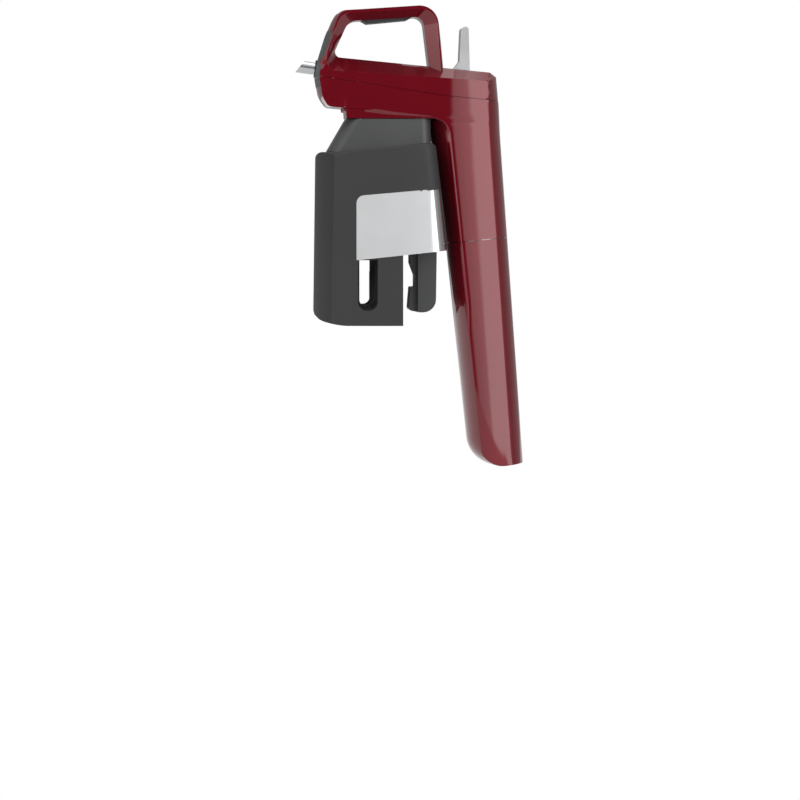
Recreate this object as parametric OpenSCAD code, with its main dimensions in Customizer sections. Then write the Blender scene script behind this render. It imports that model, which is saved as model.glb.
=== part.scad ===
// Wine preservation dispenser: a needle pours through the cork while a capsule refills with gas.
// Millimetres. X across, -Y towards the spout, Z up. The origin is the middle of the neck clamp,
// on the needle's axis. The head is drawn fully down, with the needle through the cork.

/* [Bottle fit] */
// Radius of the bottle neck that the grip pads close on
neck_r = 15; // [14:0.25:15.5]
// Height of the grip pads
grip_h = 18; // [14:1:20]
// Height of the bottle's lip above the middle of the pads
lip_z = 67; // [65:0.5:68]
// Radial room between the lip and the bell that caps it
lip_room = 1.4; // [1:0.1:1.6]
// Thickness of a grip pad
pad_t = 2; // [1.5:0.25:2.5]
// Wall of the jaw behind a grip pad
jaw_t = 2.5; // [2:0.25:3]

/* [Clamp housing] */
// Height from the lip to the top of the housing
cap_h = 13.7; // [13:0.1:16]
// Half the width of the housing's skirt
skirt_x = 18.8; // [18.8:0.1:19.1]
// Half the width of the housing's top
cone_top_x = 14.9; // [13:0.1:15.2]
// Reach of the housing's top in front of the needle
cone_top_front = 7.2; // [6.8:0.1:9]
// Reach of the housing's skirt in front of the needle
skirt_front = 15.7; // [15:0.1:16.4]
// Reach of the housing behind the needle
housing_back = 32; // [31.8:0.1:32.3]
// Wall of the housing
housing_wall = 2; // [1.6:0.1:2.4]
// Half the width of the rear column
column_x = 11.5; // [10:0.5:12.5]
// How far the column's foot hangs below the middle of the pads
column_drop = 9.1; // [7:0.1:11]
// Reach of the column's foot behind the needle
foot_back = 34.9; // [34:0.1:35.5]

/* [Clamp wings] */
// Half the width over both wings
wing_x = 28.6; // [28.4:0.1:30]
// Wall of a wing
wing_wall = 2.2; // [1.8:0.1:2.4]
// Half the gap between the wings at the front
wing_gap = 1; // [0.8:0.1:2]
// Reach of the wings in front of the needle
wing_front = 22.2; // [22:0.1:24]
// Reach of the wings behind the needle, at the height of the pads
wing_back = 41.2; // [40.6:0.1:42]
// How far the wings hang below the middle of the pads
wing_drop = 14.7; // [13.5:0.1:17]
// Height of the wings' top edge at the front
wing_top = 64.6; // [64:0.1:65.4]
// Reach of the neck shroud behind the needle
shroud_back = 18.1; // [17.2:0.1:20]
// How far a wing's pivot lies below the lip
pivot_drop = 6; // [5:0.5:8]
// Half the distance between the two pivots
pivot_x = 23; // [22.8:0.1:23.2]
// Radius of a wing's pivot pin
pivot_r = 1.5; // [1.2:0.1:1.6]
// Thickness of the metal side plates
plate_t = 0.9; // [0.7:0.1:1.2]
// Height of the bottom edge of the side plates
plate_z = 15.7; // [14:0.1:18]
// Height of a side plate at its front edge
plate_h = 28.4; // [24:0.2:30]
// Where a side plate starts, in front of the needle
plate_front = 3.3; // [2:0.1:5]
// Width of the neck window in each wing
window_w = 9.6; // [8:0.2:11]
// How far the neck window reaches below the middle of the pads
window_drop = 7.9; // [6:0.1:9]

/* [Head] */
// Width of the head and the grip
body_w = 31; // [30.5:0.1:32]
// Reach of the nose in front of the needle
nose_y = 21.6; // [20.8:0.1:24]
// Height of the collar under the head
collar_h = 4.6; // [3.8:0.1:5.6]
// Reach of the collar in front of the needle
collar_front = 7; // [6.6:0.1:9]
// Height of the parting line at the nose, above the collar's foot
nose_h = 19.6; // [19:0.1:21]
// Height that the roof's ridge has at the needle, above the collar's foot
ridge_h = 27.3; // [27:0.1:29]
// Height that the roof's ridge stands over its lower edges
bevel_h = 6.5; // [5.6:0.1:7]
// Half the width of the flat on the roof
ridge_x = 6.4; // [6.2:0.1:8]
// Wall of the head's shells
shell_wall = 2.1; // [1.8:0.1:2.3]
// Depth of the dark trim on the nose
trim_t = 2.1; // [1.6:0.1:2.4]

/* [Loop handle] */
// Height of the loop's window at its front
loop_h = 16.5; // [14:0.1:19]
// Length of the loop's window at its top
loop_len = 34.3; // [30:0.1:36]
// Height of the loop's top bar
bar_h = 5.1; // [4.8:0.1:6.4]
// Half the width of the loop
loop_x = 10; // [9:0.1:11]
// Half the width of the loop where it is thinnest, round the window
loop_in_x = 6.3; // [5.6:0.1:6.4]
// Thickness of the pad under the top bar
pad_bar_t = 1.8; // [1:0.1:2.4]

/* [Grip] */
// Depth of the grip at its joint, front to rear
grip_depth = 29; // [28.6:0.1:30]
// How far the grip narrows from one end of the cup to the other
grip_taper = 3.7; // [0:0.1:4]
// Lean of the grip, in degrees
grip_lean = 5.17; // [4.8:0.01:5.3]
// Distance from the needle to the middle of the grip at the cup's joint
grip_y = 54.4; // [54:0.1:56]
// Height of the cup's joint above the middle of the pads
joint_z = 24.6; // [20:0.2:28]
// Crown of the grip's front face
crown_front = 5.2; // [4:0.1:5.6]
// Crown of the grip's rear face
crown_rear = 5.6; // [4:0.1:6]
// How far the capsule cup reaches below the capsule's end
cup_base = 18.2; // [17:0.2:22]
// Radius of the cup's front lower corner
cup_corner = 14; // [8:0.5:16]

/* [Capsule] */
// Radius of the gas capsule
cap_r = 11; // [10:0.1:11.1]
// Length of the gas capsule
cap_len = 88; // [84:0.5:89]
// Radius of the capsule's neck
cap_neck_r = 4.3; // [4:0.1:4.4]
// Radius of the threaded boss that the cup screws on
boss_r = 12.2; // [12:0.05:12.3]
// Length of the threaded boss
boss_len = 10; // [8:0.5:11]

/* [Needle and spout] */
// Radius of the needle
needle_r = 0.75; // [0.6:0.05:0.9]
// Height of the needle's tip above the middle of the pads, with the head down
tip_z = 18; // [16:0.5:20]
// How far the head slides up
travel = 52; // [44:1:54]
// Radius of the spout
spout_r = 2.9; // [2.5:0.1:3.1]
// Reach of the spout in front of the needle
spout_y = 30.2; // [28:0.1:33]
// Height of the spout's axis where it leaves the nose, above the collar's foot
spout_h = 23.3; // [23:0.1:23.8]
// Tilt of the spout, in degrees
spout_tilt = 7.8; // [6:0.1:9]

/* [Guide rail] */
// Width of the rail
rail_w = 10; // [8:0.2:11]
// Thickness of the rail
rail_t = 3.8; // [3:0.1:3.9]
// Clearance of the rail in its column, each side
rail_play = 0.2; // [0.15:0.05:0.3]

/* [Trigger and valve] */
// Height of the trigger's tip above its pivot
trigger_h = 30.2; // [26:0.2:33]
// Width of the trigger
trigger_w = 10; // [8:0.2:10.4]
// Thickness of the trigger at its tip
trigger_t = 3.6; // [3:0.1:4]
// Distance from the needle to the trigger's pivot
trigger_y = 50; // [49.5:0.1:50.5]
// Radius of the trigger's pin
trigger_pin_r = 1.25; // [1:0.05:1.4]
// Radius of the valve's stem
stem_r = 1.6; // [1.2:0.1:1.8]
// Radius of the regulator's piston
piston_r = 7.9; // [7:0.1:8.2]

/* [Hidden] */

red = "#6a0f1c";
dark = "#3b3b3d";
grey = "#55565a";
black = "#1d1d1f";
chrome = "#d5d7da";
steel = "#b4b8bc";
brass = "#b08a48";
clear = "#c8ccd0";

fit = 0.05;               // running and seated pieces, radial
seat = 0.3;               // pieces that rest on a seat of another body
eps = 0.01;
far = 200;
$fn = 64;

// Bottle clamp
bell_r = neck_r + lip_room;
bell_wall = 2.2;
pad_r = neck_r - 1.3;
pad_top_z = lip_z + 1.6;                    // top of the soft pad that meets the lip
housing_top = lip_z + cap_h;
pivot_z = lip_z - pivot_drop;
skirt_z = lip_z - 1;                        // where the cone starts
housing_foot = lip_z - 11;
bell_foot = lip_z - 19;
jaw_r = neck_r + pad_t + jaw_t;
tower_r = 5.4;
guide_r = 4;

// Head
foot_z = housing_top + seat;                // foot of the collar
part_z0 = foot_z + nose_h;                  // parting line at the nose
part_y1 = 39;                               // kink of the parting line
part_z1 = part_z0 - 9.2;
part_slope = 0.087;                         // fall of the parting line behind the kink
ridge_slope = 0.0965;
ridge_z = foot_z + ridge_h;
roof_slope = 0.063;
half_w = body_w / 2;
collar_back = grip_y - 8;
under_slope = 0.096;

// Rail and column
rail_y = 26.4;                              // front face of the rail
rail_back = rail_y + rail_t;
column_front = 22.9;
rail_foot = -column_drop + 4;
stop_z = pivot_z - 2;
stop_r = 1.2;

// Trigger and valve
stub_r = spout_r - 0.25;                    // the spout is slimmer inside the nose
pivot_tz = foot_z + 13.5;                   // height of the trigger's pivot
stem_y = trigger_y - 7.5;
stem_top = pivot_tz + 3.6;
valve_z0 = foot_z + 2.6;
valve_floor = foot_z + 3.8;                 // of the chamber that holds the spring
valve_ceiling = pivot_tz - 4.2;
tube_z = foot_z + 7.5;                      // height of the gas tube
tube_x = 8.6;
valve_back = trigger_y + 4.4;
cheek_x = trigger_w / 2 + 0.5;
cheek_t = 2.4;

// Grip, in its own frame: z along the grip from the cup's joint, y towards the rear
cup_len = cap_len + cup_base;
taper_slope = grip_taper / 2 / cup_len;
bore_r = cap_r + 0.4;
reg_r = boss_r;
reg_len = 46;
cup_floor = cap_len + 1.6;
neck_len = 8;
joint_gap = 0.15;                           // line between the cup and the grip
block_lap = 8.4;                            // the head's block ends this far before the grip's middle
seal_z = 2;                                 // the cup's seal lies this far under the joint

// Wings
wing_lean = 0.118;
wing_top_slope = 0.1;
edge_y = 14.7;
top_room = 1.9;                             // room round the housing for the wings' swing

// ---------------------------------------------------------------- helpers

function centre3(a, b, c) =
  let (d = 2 * (a.x * (b.y - c.y) + b.x * (c.y - a.y) + c.x * (a.y - b.y)),
       ux = (a * a * (b.y - c.y) + b * b * (c.y - a.y) + c * c * (a.y - b.y)) / d,
       uy = (a * a * (c.x - b.x) + b * b * (a.x - c.x) + c * c * (b.x - a.x)) / d)
  [ux, uy];

// n segments of the circle that runs from a through b to c
function arc3(a, b, c, n) =
  let (o = centre3(a, b, c),
       r = norm(a - o),
       t0 = atan2(a.y - o.y, a.x - o.x),
       t1 = atan2(c.y - o.y, c.x - o.x),
       left = cross(b - a, c - b) > 0,
       sweep = left ? (t1 - t0 + 720) % 360 : -((t0 - t1 + 720) % 360))
  [for (i = [0:n]) o + r * [cos(t0 + sweep * i / n), sin(t0 + sweep * i / n)]];

// One corner of an outline, rounded by an arc of n segments, or left sharp when r is 0
function corner(p, c, q, r, n) =
  r <= 0 ? [c] :
  let (u = (p - c) / norm(p - c),
       v = (q - c) / norm(q - c),
       half = acos(u * v) / 2,
       o = c + (u + v) / norm(u + v) * (r / sin(half)),
       s = c + u * (r / tan(half)),
       e = c + v * (r / tan(half)),
       a0 = atan2(s.y - o.y, s.x - o.x),
       a1 = atan2(e.y - o.y, e.x - o.x),
       d = ((a1 - a0 + 540) % 360) - 180)
  [for (i = [0:n]) o + r * [cos(a0 + d * i / n), sin(a0 + d * i / n)]];

function rounded(pts, radii, n = 6) =
  let (m = len(pts))
  [for (i = [0:m - 1])
    for (p = corner(pts[(i + m - 1) % m], pts[i], pts[(i + 1) % m], radii[i], n)) p];

function drop_ends(l, first, last) = [for (i = [first:len(l) - 1 - last]) l[i]];
function at_z(pts, z) = [for (p = pts) [p.x, p.y, z]];

// A closed body through rings of equal point count, each listed anticlockwise seen from above
module loft(rings) {
  n = len(rings[0]);
  m = len(rings);
  points = [for (r = rings) for (p = r) p];
  sides = [for (i = [0:m - 2]) for (j = [0:n - 1]) for (k = [0, 1])
    let (a = i * n + j, b = i * n + (j + 1) % n)
    k == 0 ? [a, a + n, b + n] : [a, b + n, b]];
  polyhedron(points, concat(
    [[for (j = [0:n - 1]) j]],
    sides,
    [[for (j = [n - 1:-1:0]) (m - 1) * n + j]]));
}

// Extrudes an outline given as (y, z) along X, from -w to w
module across(w) {
  translate([-w, 0, 0]) rotate([90, 0, 90]) linear_extrude(2 * w) children();
}

// The same between two X positions
module between_x(x0, x1) {
  translate([x0, 0, 0]) rotate([90, 0, 90]) linear_extrude(x1 - x0) children();
}

// Lofts outlines given as [x, [(y, z) points]] along X
module loft_x(steps) {
  rotate([90, 0, 90]) loft([for (s = steps) at_z(s[1], s[0])]);
}

module box(x0, x1, y0, y1, z0, z1) {
  translate([x0, y0, z0]) cube([x1 - x0, y1 - y0, z1 - z0]);
}

module ring(r_out, r_in, z0, z1) {
  translate([0, 0, z0]) difference() {
    cylinder(r = r_out, h = z1 - z0);
    translate([0, 0, -1]) cylinder(r = r_in, h = z1 - z0 + 2);
  }
}

module grip_frame() {
  translate([0, grip_y, joint_z]) rotate([grip_lean, 0, 0]) children();
}

module left_and_right() {
  children();
  mirror([1, 0, 0]) children();
}

// A coil of round wire, swept along its turns
module coil(r, wire, z0, z1, turns) {
  steps = 10;
  sides = 6;
  count = turns * steps;
  rise = (z1 - z0 - 2 * wire) / count;
  rings = [for (i = [0:count])
    let (t = 360 / steps * i, z = z0 + wire + rise * i)
    [for (k = [0:sides - 1])
      let (q = 360 / sides * k)
      [(r + wire * cos(q)) * cos(t), (r + wire * cos(q)) * sin(t), z + wire * sin(q)]]];
  mirror([0, 1, 0]) loft([for (g = rings) [for (p = g) [p.x, -p.y, p.z]]]);
}

// ---------------------------------------------------------------- shared forms

function part_line(y) = y < part_y1
  ? part_z0 + (part_z1 - part_z0) * (y + nose_y) / (part_y1 + nose_y)
  : part_z1 - part_slope * (y - part_y1);
function ridge(y) = ridge_z - ridge_slope * y;
function eave(y) = ridge_z - bevel_h - roof_slope * y;
function belly(y) = foot_z + collar_h - under_slope * (y + collar_front);

// Section of the grip at a height z in the grip's frame, drawn in by d
function grip_ring(z, d) =
  let (h = (grip_depth / 2 + taper_slope * z) - d,
       wf = half_w - d,
       wm = wf - 0.85,
       wr = wf - 3.4,
       ef = -h + crown_front,
       er = h - crown_rear,
       mid = (ef + er) / 2)
  at_z(concat(
    arc3([-wf, ef], [0, -h], [wf, ef], 10),
    drop_ends(arc3([wf, ef], [wm, mid], [wr, er], 6), 1, 0),
    drop_ends(arc3([wr, er], [0, h], [-wr, er], 10), 1, 0),
    drop_ends(arc3([-wr, er], [-wm, mid], [-wf, ef], 6), 1, 1)), z);

module grip_body(z0, z1, d) {
  grip_frame() loft([grip_ring(z0, d), grip_ring(z1, d)]);
}

// Middle of the grip, front to rear, at a height z
function mid_y(z) = grip_y - (z - joint_z) * tan(grip_lean);

// Side outline of the head from the collar's foot to its ridge, nose to the left
nose_pts = [
  [-nose_y, foot_z + 26.3],
  [-nose_y, part_z0 + 0.6],
  [-nose_y + 1.8, foot_z + 14.3],
  [-nose_y + 3.2, belly(-nose_y + 3.2)],
  [-collar_front - 0.4, belly(-collar_front)]];

// The roof: a flat ridge that falls to the eaves on each side
module roof_space() {
  y0 = -40;
  y1 = 90;
  w = half_w + 4;
  fall = bevel_h * (w - ridge_x) / (half_w - ridge_x);
  function sec(y) = [[-w, -far], [w, -far], [w, ridge(y) - fall + (eave(y) - ridge(y) + bevel_h)],
    [ridge_x, ridge(y)], [-ridge_x, ridge(y)], [-w, ridge(y) - fall + (eave(y) - ridge(y) + bevel_h)]];
  rotate([90, 0, 0]) loft([at_z(sec(y1), -y1), at_z(sec(y0), -y0)]);
}

// Outer corners of the loop: nose, front top, rear top, rear foot
top_front = [-nose_y + 11.8, ridge_z + loop_h + bar_h + 0.8];
top_rear = [top_front.x + loop_len + 10.2, top_front.y + 3.2];
loop_foot = [top_rear.x + 3.4, ridge(top_rear.x + 3.4) - 2];
window_pts = [
  [-nose_y + 8.1, ridge(-nose_y + 8.1)],
  [top_rear.x - 3.4, ridge(top_rear.x - 3.4)],
  [top_rear.x - 6.1, top_rear.y - bar_h - 0.4],
  [top_front.x + 4.1, top_front.y - bar_h + 0.2]];
window_radii = [2.5, 0.6, 5, 6];

function grow(pts, left, right, down, up) = [
  pts[0] + [-left, -down], pts[1] + [right, -down], pts[2] + [right, up], pts[3] + [-left, up]];

module loop_slab() {
  across(loop_x) polygon(rounded(
    [[-nose_y, part_z0 + 1], [loop_foot.x, part_z0 - 2], loop_foot, top_rear, top_front,
     [-nose_y, foot_z + 26.3]],
    [0, 0, 0, 9, 7, 6]));
}

// The nose broadens downwards from the loop's width to the head's
module nose_cheeks() {
  w0 = half_w - 0.15;
  zs = [part_z0 - 4, foot_z + 24, foot_z + 32, top_front.y - 12];
  ws = [w0, w0, loop_x + 3.4, loop_x];
  fs = [-nose_y + 0.9, -nose_y, -nose_y + 2.4, -nose_y + 5.6];
  bs = [2, 0, -nose_y + 8.2, -nose_y + 10];
  loft([for (i = [0:3]) at_z([[-ws[i], fs[i]], [ws[i], fs[i]], [ws[i], bs[i]], [-ws[i], bs[i]]], zs[i])]);
}

// The wide bevel that dishes the loop towards its window
module window_cut() {
  n = 6;
  r = window_radii;
  w0 = rounded(window_pts, r, n);
  w1 = rounded(grow(window_pts, 3, 4.6, 2.65, 4.6), [for (k = r) k + 2], n);
  w2 = rounded(grow(window_pts, 4, 5, 7.1, 4.8), [for (k = r) k + 3], n);
  across(far) polygon(w0);
  left_and_right()
    loft_x([[loop_in_x, w0], [loop_x + 0.2, w1], [half_w + 1, w2]]);
}

// Everything red above the collar, before it is parted and hollowed
module head_form() {
  intersection() {
    union() {
      across(half_w - 0.15) polygon(rounded(concat(nose_pts,
        [[-collar_front, foot_z], [collar_back - 7.8, foot_z], [collar_back - 5.6, foot_z - 7],
         [mid_y(foot_z + 4) - block_lap, foot_z + 4], [mid_y(ridge_z) - block_lap, ridge_z],
         [-nose_y + 1.4, ridge(-nose_y)]]),
        [0, 0, 0, 5, 0, 0.6, 7.4, 0, 0, 0, 3]));
      grip_body(joint_gap, ridge_z - joint_z, 0);
    }
    roof_space();
    across(far) polygon([
      [-far, -far], [far, -far], [far, foot_z + 15], [grip_y + 9.1, foot_z + 19.7],
      [grip_y + 6, ridge(grip_y + 6)], [grip_y + 6, far], [-far, far]]);
  }
}

module above_parting(gap) {
  y0 = -60;
  y2 = 110;
  across(far) polygon([[y0, part_line(y0) + gap], [part_y1, part_z1 + gap], [y2, part_line(y2) + gap],
    [y2, far], [y0, far]]);
}

module below_parting(gap) {
  y0 = -60;
  y2 = 110;
  across(far) polygon([[y0, part_line(y0) - gap], [y0, -far], [y2, -far], [y2, part_line(y2) - gap],
    [part_y1, part_z1 - gap]]);
}

// Room inside the head: open between its floor and the underside of the roof
module head_room() {
  w = half_w - shell_wall - 0.15;
  f = -nose_y + trim_t + 2.4;
  back = block_lap - 2;
  intersection() {
    union() {
      across(w) polygon([[f, far], [f, foot_z + 10], [-15, belly(-15) + shell_wall + 0.4],
        [-collar_front + shell_wall, belly(-collar_front) + shell_wall],
        [-collar_front + shell_wall, foot_z + 2.2], [mid_y(foot_z + 2.2) - back, foot_z + 2.2],
        [mid_y(far) - back, far]]);
      grip_body(foot_z + 2.2 - joint_z, ridge_z - joint_z, shell_wall);
    }
    across(far) polygon([[-60, -far], [90, -far], [90, eave(90) - 1.8], [-60, eave(-60) - 1.8]]);
  }
}

// Strip of the nose that the dark trim fills, reaching g further on its inner side
module trim_space(g) {
  across(far) polygon([
    [-nose_y - 4, foot_z + 14.4 - g], [-nose_y + trim_t + g, foot_z + 14.4 - g],
    [-nose_y + trim_t + g, foot_z + 25.4], [-nose_y + trim_t + 3.9 + g, foot_z + 34.4],
    [-nose_y + trim_t + 6.6 + g, foot_z + 39.6], [-nose_y + 5.2, foot_z + 41.2 + g],
    [-nose_y - 4, foot_z + 41.2 + g]]);
}

module nose_form() {
  intersection() {
    union() {
      head_form();
      nose_cheeks();
      loop_slab();
    }
    across(half_w) polygon([
      [-nose_y - 1, foot_z], [-nose_y + 16, foot_z], [-nose_y + 16, far], [-nose_y - 1, far]]);
  }
}

module spout_frame() {
  translate([0, -nose_y, foot_z + spout_h]) rotate([90 - spout_tilt, 0, 0]) children();
}

// ---------------------------------------------------------------- clamp housing

function housing_ring(z, x, front, back, d) = at_z(rounded(
  [[-x + d, -front + d], [x - d, -front + d], [x - d, back - d], [-x + d, back - d]],
  [7 - d, 7 - d, 4.6 - d, 4.6 - d], 5), z);

module housing_outer(d, foot, top) {
  slope_x = (skirt_x - cone_top_x) / (housing_top - skirt_z);
  slope_y = (skirt_front - cone_top_front) / (housing_top - skirt_z);
  x_top = skirt_x - slope_x * (top - skirt_z);
  y_top = skirt_front - slope_y * (top - skirt_z);
  loft([
    housing_ring(foot, skirt_x, skirt_front, housing_back, d),
    housing_ring(skirt_z, skirt_x, skirt_front, housing_back, d),
    housing_ring(top, x_top, y_top, housing_back, d)]);
}

module column() {
  r = 6;
  across(column_x) polygon(rounded([
    [column_front + 3.2, housing_top - 0.2], [column_front + 3.2, -column_drop + 0.1],
    [foot_back - 0.4, -column_drop], [foot_back, 19], [housing_back, housing_top - 12],
    [housing_back, housing_top - 0.2]],
    [0, 0.6, r, 0, 0, 0]));
  across(column_x - 3.4) polygon(rounded([
    [column_front, housing_foot + 2], [column_front, 13.8], [column_front + 2.1, 8],
    [column_front + 2.1, 2.7], [column_front, 2.6], [column_front - 0.9, -column_drop + 1],
    [column_front + 4, -column_drop], [column_front + 4, housing_foot + 2]],
    [0, 0, 0, 0, 0.4, 1.4, 0, 0], 3));
}

module pivot_lugs() {
  left_and_right()
    for (y = [-5, 20])
      translate([0, y, 0]) rotate([-90, 0, 0]) linear_extrude(3) difference() {
        union() {
          translate([pivot_x, -pivot_z]) circle(r = pivot_r + 0.9);
          translate([skirt_x - 1.5, -pivot_z - 1.6]) square([pivot_x - skirt_x + 1.5, 3.2]);
        }
        translate([pivot_x, -pivot_z]) circle(r = pivot_r + eps);
      }
}

module clamp_housing() {
  color(dark) difference() {
    union() {
      difference() {
        housing_outer(0, housing_foot, housing_top);
        housing_outer(housing_wall, housing_foot - 1, housing_top - 3);
      }
      intersection() {
        union() {
          ring(bell_r + bell_wall, pad_r, bell_foot, pad_top_z + 1);
          ring(bell_r + bell_wall, tower_r - 1, pad_top_z, pad_top_z + 2);
          ring(tower_r, guide_r + fit, pad_top_z, housing_top - 1);
        }
        union() {
          housing_outer(0.3, housing_foot, housing_top);
          ring(bell_r + bell_wall, 1, bell_foot - 1, housing_foot + 1);
        }
      }
      column();
      pivot_lugs();
    }
    translate([0, 0, pad_top_z]) cylinder(r = guide_r + fit, h = 40);
    translate([0, 0, bell_foot - 1]) cylinder(r = bell_r, h = lip_z - 3 - bell_foot + 1);
    translate([0, 0, lip_z - 4]) cylinder(r = neck_r - 0.2, h = 4);
    translate([0, 0, lip_z - 1]) cylinder(r = pad_r + eps, h = pad_top_z - lip_z + 1);
    box(-rail_w / 2 - rail_play, rail_w / 2 + rail_play, rail_y - rail_play, rail_back + rail_play,
      -far, far);
    translate([0, rail_y, stop_z]) rotate([-90, 0, 0]) cylinder(r = stop_r + eps, h = 20);
  }
}

// The guide keeps the fine needle straight as it meets the cork
module needle_guide() {
  color(clear) difference() {
    translate([0, 0, pad_top_z + 0.2]) cylinder(r = guide_r, h = housing_top - pad_top_z - 0.4);
    translate([0, 0, pad_top_z - 1]) cylinder(r = needle_r + fit, h = 30);
    translate([0, 0, housing_top - 2.2])
      cylinder(r1 = needle_r + fit, r2 = guide_r - 1, h = 2.2, $fn = 48);
  }
}

module lip_pad() {
  color(black) ring(pad_r, 2.2, lip_z, pad_top_z);
}

module wing_pivot_pins() {
  color(steel) left_and_right()
    translate([pivot_x, -5.3, pivot_z]) rotate([-90, 0, 0]) cylinder(r = pivot_r, h = 28.6);
}

module wing_springs() {
  color(steel) left_and_right()
    translate([pivot_x, 12.3, pivot_z]) rotate([-90, 0, 0]) coil(pivot_r + 0.5, 0.35, 0.1, 7.5, 6);
}

module guide_stop_pin() {
  color(steel) translate([0, rail_y + 0.5, stop_z]) rotate([-90, 0, 0])
    cylinder(r = stop_r, h = housing_back + 0.4 - rail_y - 0.5);
}

// ---------------------------------------------------------------- clamp wings

// Plan of the right wing at a height z, drawn in by d; its inner side runs along X = x0
function wing_ring(z, d, x0) =
  let (f = -wing_front + 0.0145 * z + d,
       e = -edge_y + 0.02 * z + 0.6 * d,
       b = wing_back + wing_lean * (0 - z) - d,
       r = 7 - d,
       xs = wing_x - d,
       xr = xs - 0.6)
  at_z(concat(
    arc3([x0, f], [14.5, f + 2.4], [xs - 2.6, e], 8),
    drop_ends(arc3([xs - 2.6, e], [xs, 6], [xr, b - r], 8), 1, 0),
    drop_ends(arc3([xr, b - r], [xr - r * (1 - cos(45)), b - r * (1 - sin(45))], [xr - r, b], 5), 1, 0),
    [[x0, b]]), z);

module wing_space(d, x0) {
  loft([wing_ring(-wing_drop - 8, d, x0), wing_ring(wing_top + 16, d, x0)]);
}

// Side outline of a wing, drawn in by d at its top and bottom only where d is positive
module wing_side(d) {
  polygon(rounded([
    [-wing_front - 1, wing_top - 0.1 - d], [-wing_front - 1, -5],
    [-wing_front + 2, -wing_drop + 2.8], [-edge_y + 5.6, -wing_drop],
    [shroud_back, -wing_drop], [shroud_back, plate_z + 2.4],
    [wing_back + 2, plate_z + 4.6], [wing_back + 2, wing_top + 4.6 - d],
    [wing_back - 8, wing_top + 4.8 - d]],
    [7.5, 0, 2, 0, 1.6, 0, 0, 0, 0]));
}

module wing_outer() {
  intersection() {
    wing_space(0, wing_gap);
    across(far) wing_side(0);
  }
}

// The neck window: a slot with a round foot and a wide bevel
module neck_window() {
  y0 = -plate_front + 0.3;
  y1 = y0 + window_w;
  z1 = plate_z + 0.4;
  out = rounded([[y0, -window_drop], [y1, -window_drop], [y1, z1], [y0, z1]],
    [window_w / 2 - 0.2, window_w / 2 - 0.2, 0.1, 0.1]);
  bevel = 1.4;
  in = rounded([[y0 + bevel, -window_drop + 2], [y1 - bevel, -window_drop + 2], [y1 - bevel, z1],
    [y0 + bevel, z1]], [window_w / 2 - bevel - 0.2, window_w / 2 - bevel - 0.2, 0.1, 0.1]);
  loft_x([[neck_r - 6, in], [jaw_r + 0.6, in], [wing_x + 0.6, out]]);
}

module plate_outline(g) {
  z0 = plate_z;
  polygon(rounded([
    [-plate_front - g, z0 - 0.1 - g], [wing_back + 4, z0 + 5 - g],
    [wing_back + 4, z0 + plate_h + 5.2 + g], [-plate_front - g, z0 + plate_h + 1 + g]],
    [0.3, 0, 0, 3.6]));
}

module plate_layer(d0, d1, g) {
  intersection() {
    difference() {
      wing_space(d0, wing_gap);
      wing_space(d1, wing_gap - 1);
    }
    between_x(skirt_x + top_room + 0.4 - g, 60) plate_outline(g);
  }
}

module jaw() {
  h = grip_h + 1;
  z0 = -grip_h / 2 - 0.5;
  difference() {
    union() {
      ring(jaw_r, neck_r + pad_t, z0, z0 + h);
      // frame of the neck window, which ties the jaw to the wing's wall
      box(jaw_r - 3, wing_x - 1, -plate_front - 2, -plate_front + window_w + 3,
        -window_drop - 2.4, plate_z - 0.3);
    }
    box(-far, wing_gap, -far, far, -far, far);
    translate([0, 0, -far]) cylinder(r = neck_r + pad_t, h = 2 * far);
    // the pads leave the ends of the jaw open
    rotate([0, 0, 66]) box(0, far, 0, far, -far, far);
    rotate([0, 0, -169]) box(0, far, 0, far, -far, far);
  }
}

module knuckle() {
  translate([0, -1.7, 0]) rotate([-90, 0, 0]) linear_extrude(13.7) {
    translate([pivot_x, -pivot_z]) circle(r = pivot_r + 1.2);
    translate([pivot_x, -pivot_z - 1.6]) square([wing_x - 1 - pivot_x, 3.2]);
  }
}

module wing_shell() {
  difference() {
    union() {
      difference() {
        wing_outer();
        intersection() {
          wing_space(wing_wall, -1);
          across(far) polygon([
            [-far, -far], [far, -far], [far, wing_top - wing_wall + wing_top_slope * (far + wing_front)],
            [-far, wing_top - wing_wall - wing_top_slope * (far - wing_front)]]);
        }
      }
      intersection() {
        wing_outer();
        union() {
          jaw();
          knuckle();
        }
      }
    }
    // the top and the rear are open round the housing, the column and the grip
    loft([
      housing_ring(wing_top - 8, skirt_x, skirt_front, far, -top_room),
      housing_ring(far, skirt_x, skirt_front, far, -top_room)]);
    box(-far, skirt_x + 2, shroud_back + 0.6, far, -far, far);
    // the shroud's lower part is open at the rear, inside its wall
    translate([0, 0, -far]) cylinder(r = neck_r + pad_t, h = far + lip_z - 21);
    translate([pivot_x, -2, pivot_z]) rotate([-90, 0, 0]) cylinder(r = pivot_r + fit, h = 16);
    box(skirt_x - 3, pivot_x + pivot_r + 1.8, -5.6, -1.7, pivot_z - 4, pivot_z + 4);
    box(skirt_x - 3, pivot_x + pivot_r + 1.8, 12, 23.6, pivot_z - 4, pivot_z + 4);
    neck_window();
    plate_layer(-1, plate_t + fit, fit);
  }
}

module wing_plate() {
  plate_layer(0, plate_t, 0);
}

// Two curved pads, one each side of the neck window
module grip_pads() {
  for (a = [[-78, -16], [24, 64]])
    rotate([0, 0, a[0]]) translate([0, 0, -grip_h / 2])
      rotate_extrude(angle = a[1] - a[0], $fn = 96)
        translate([neck_r, 0]) square([pad_t - fit, grip_h]);
}

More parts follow.
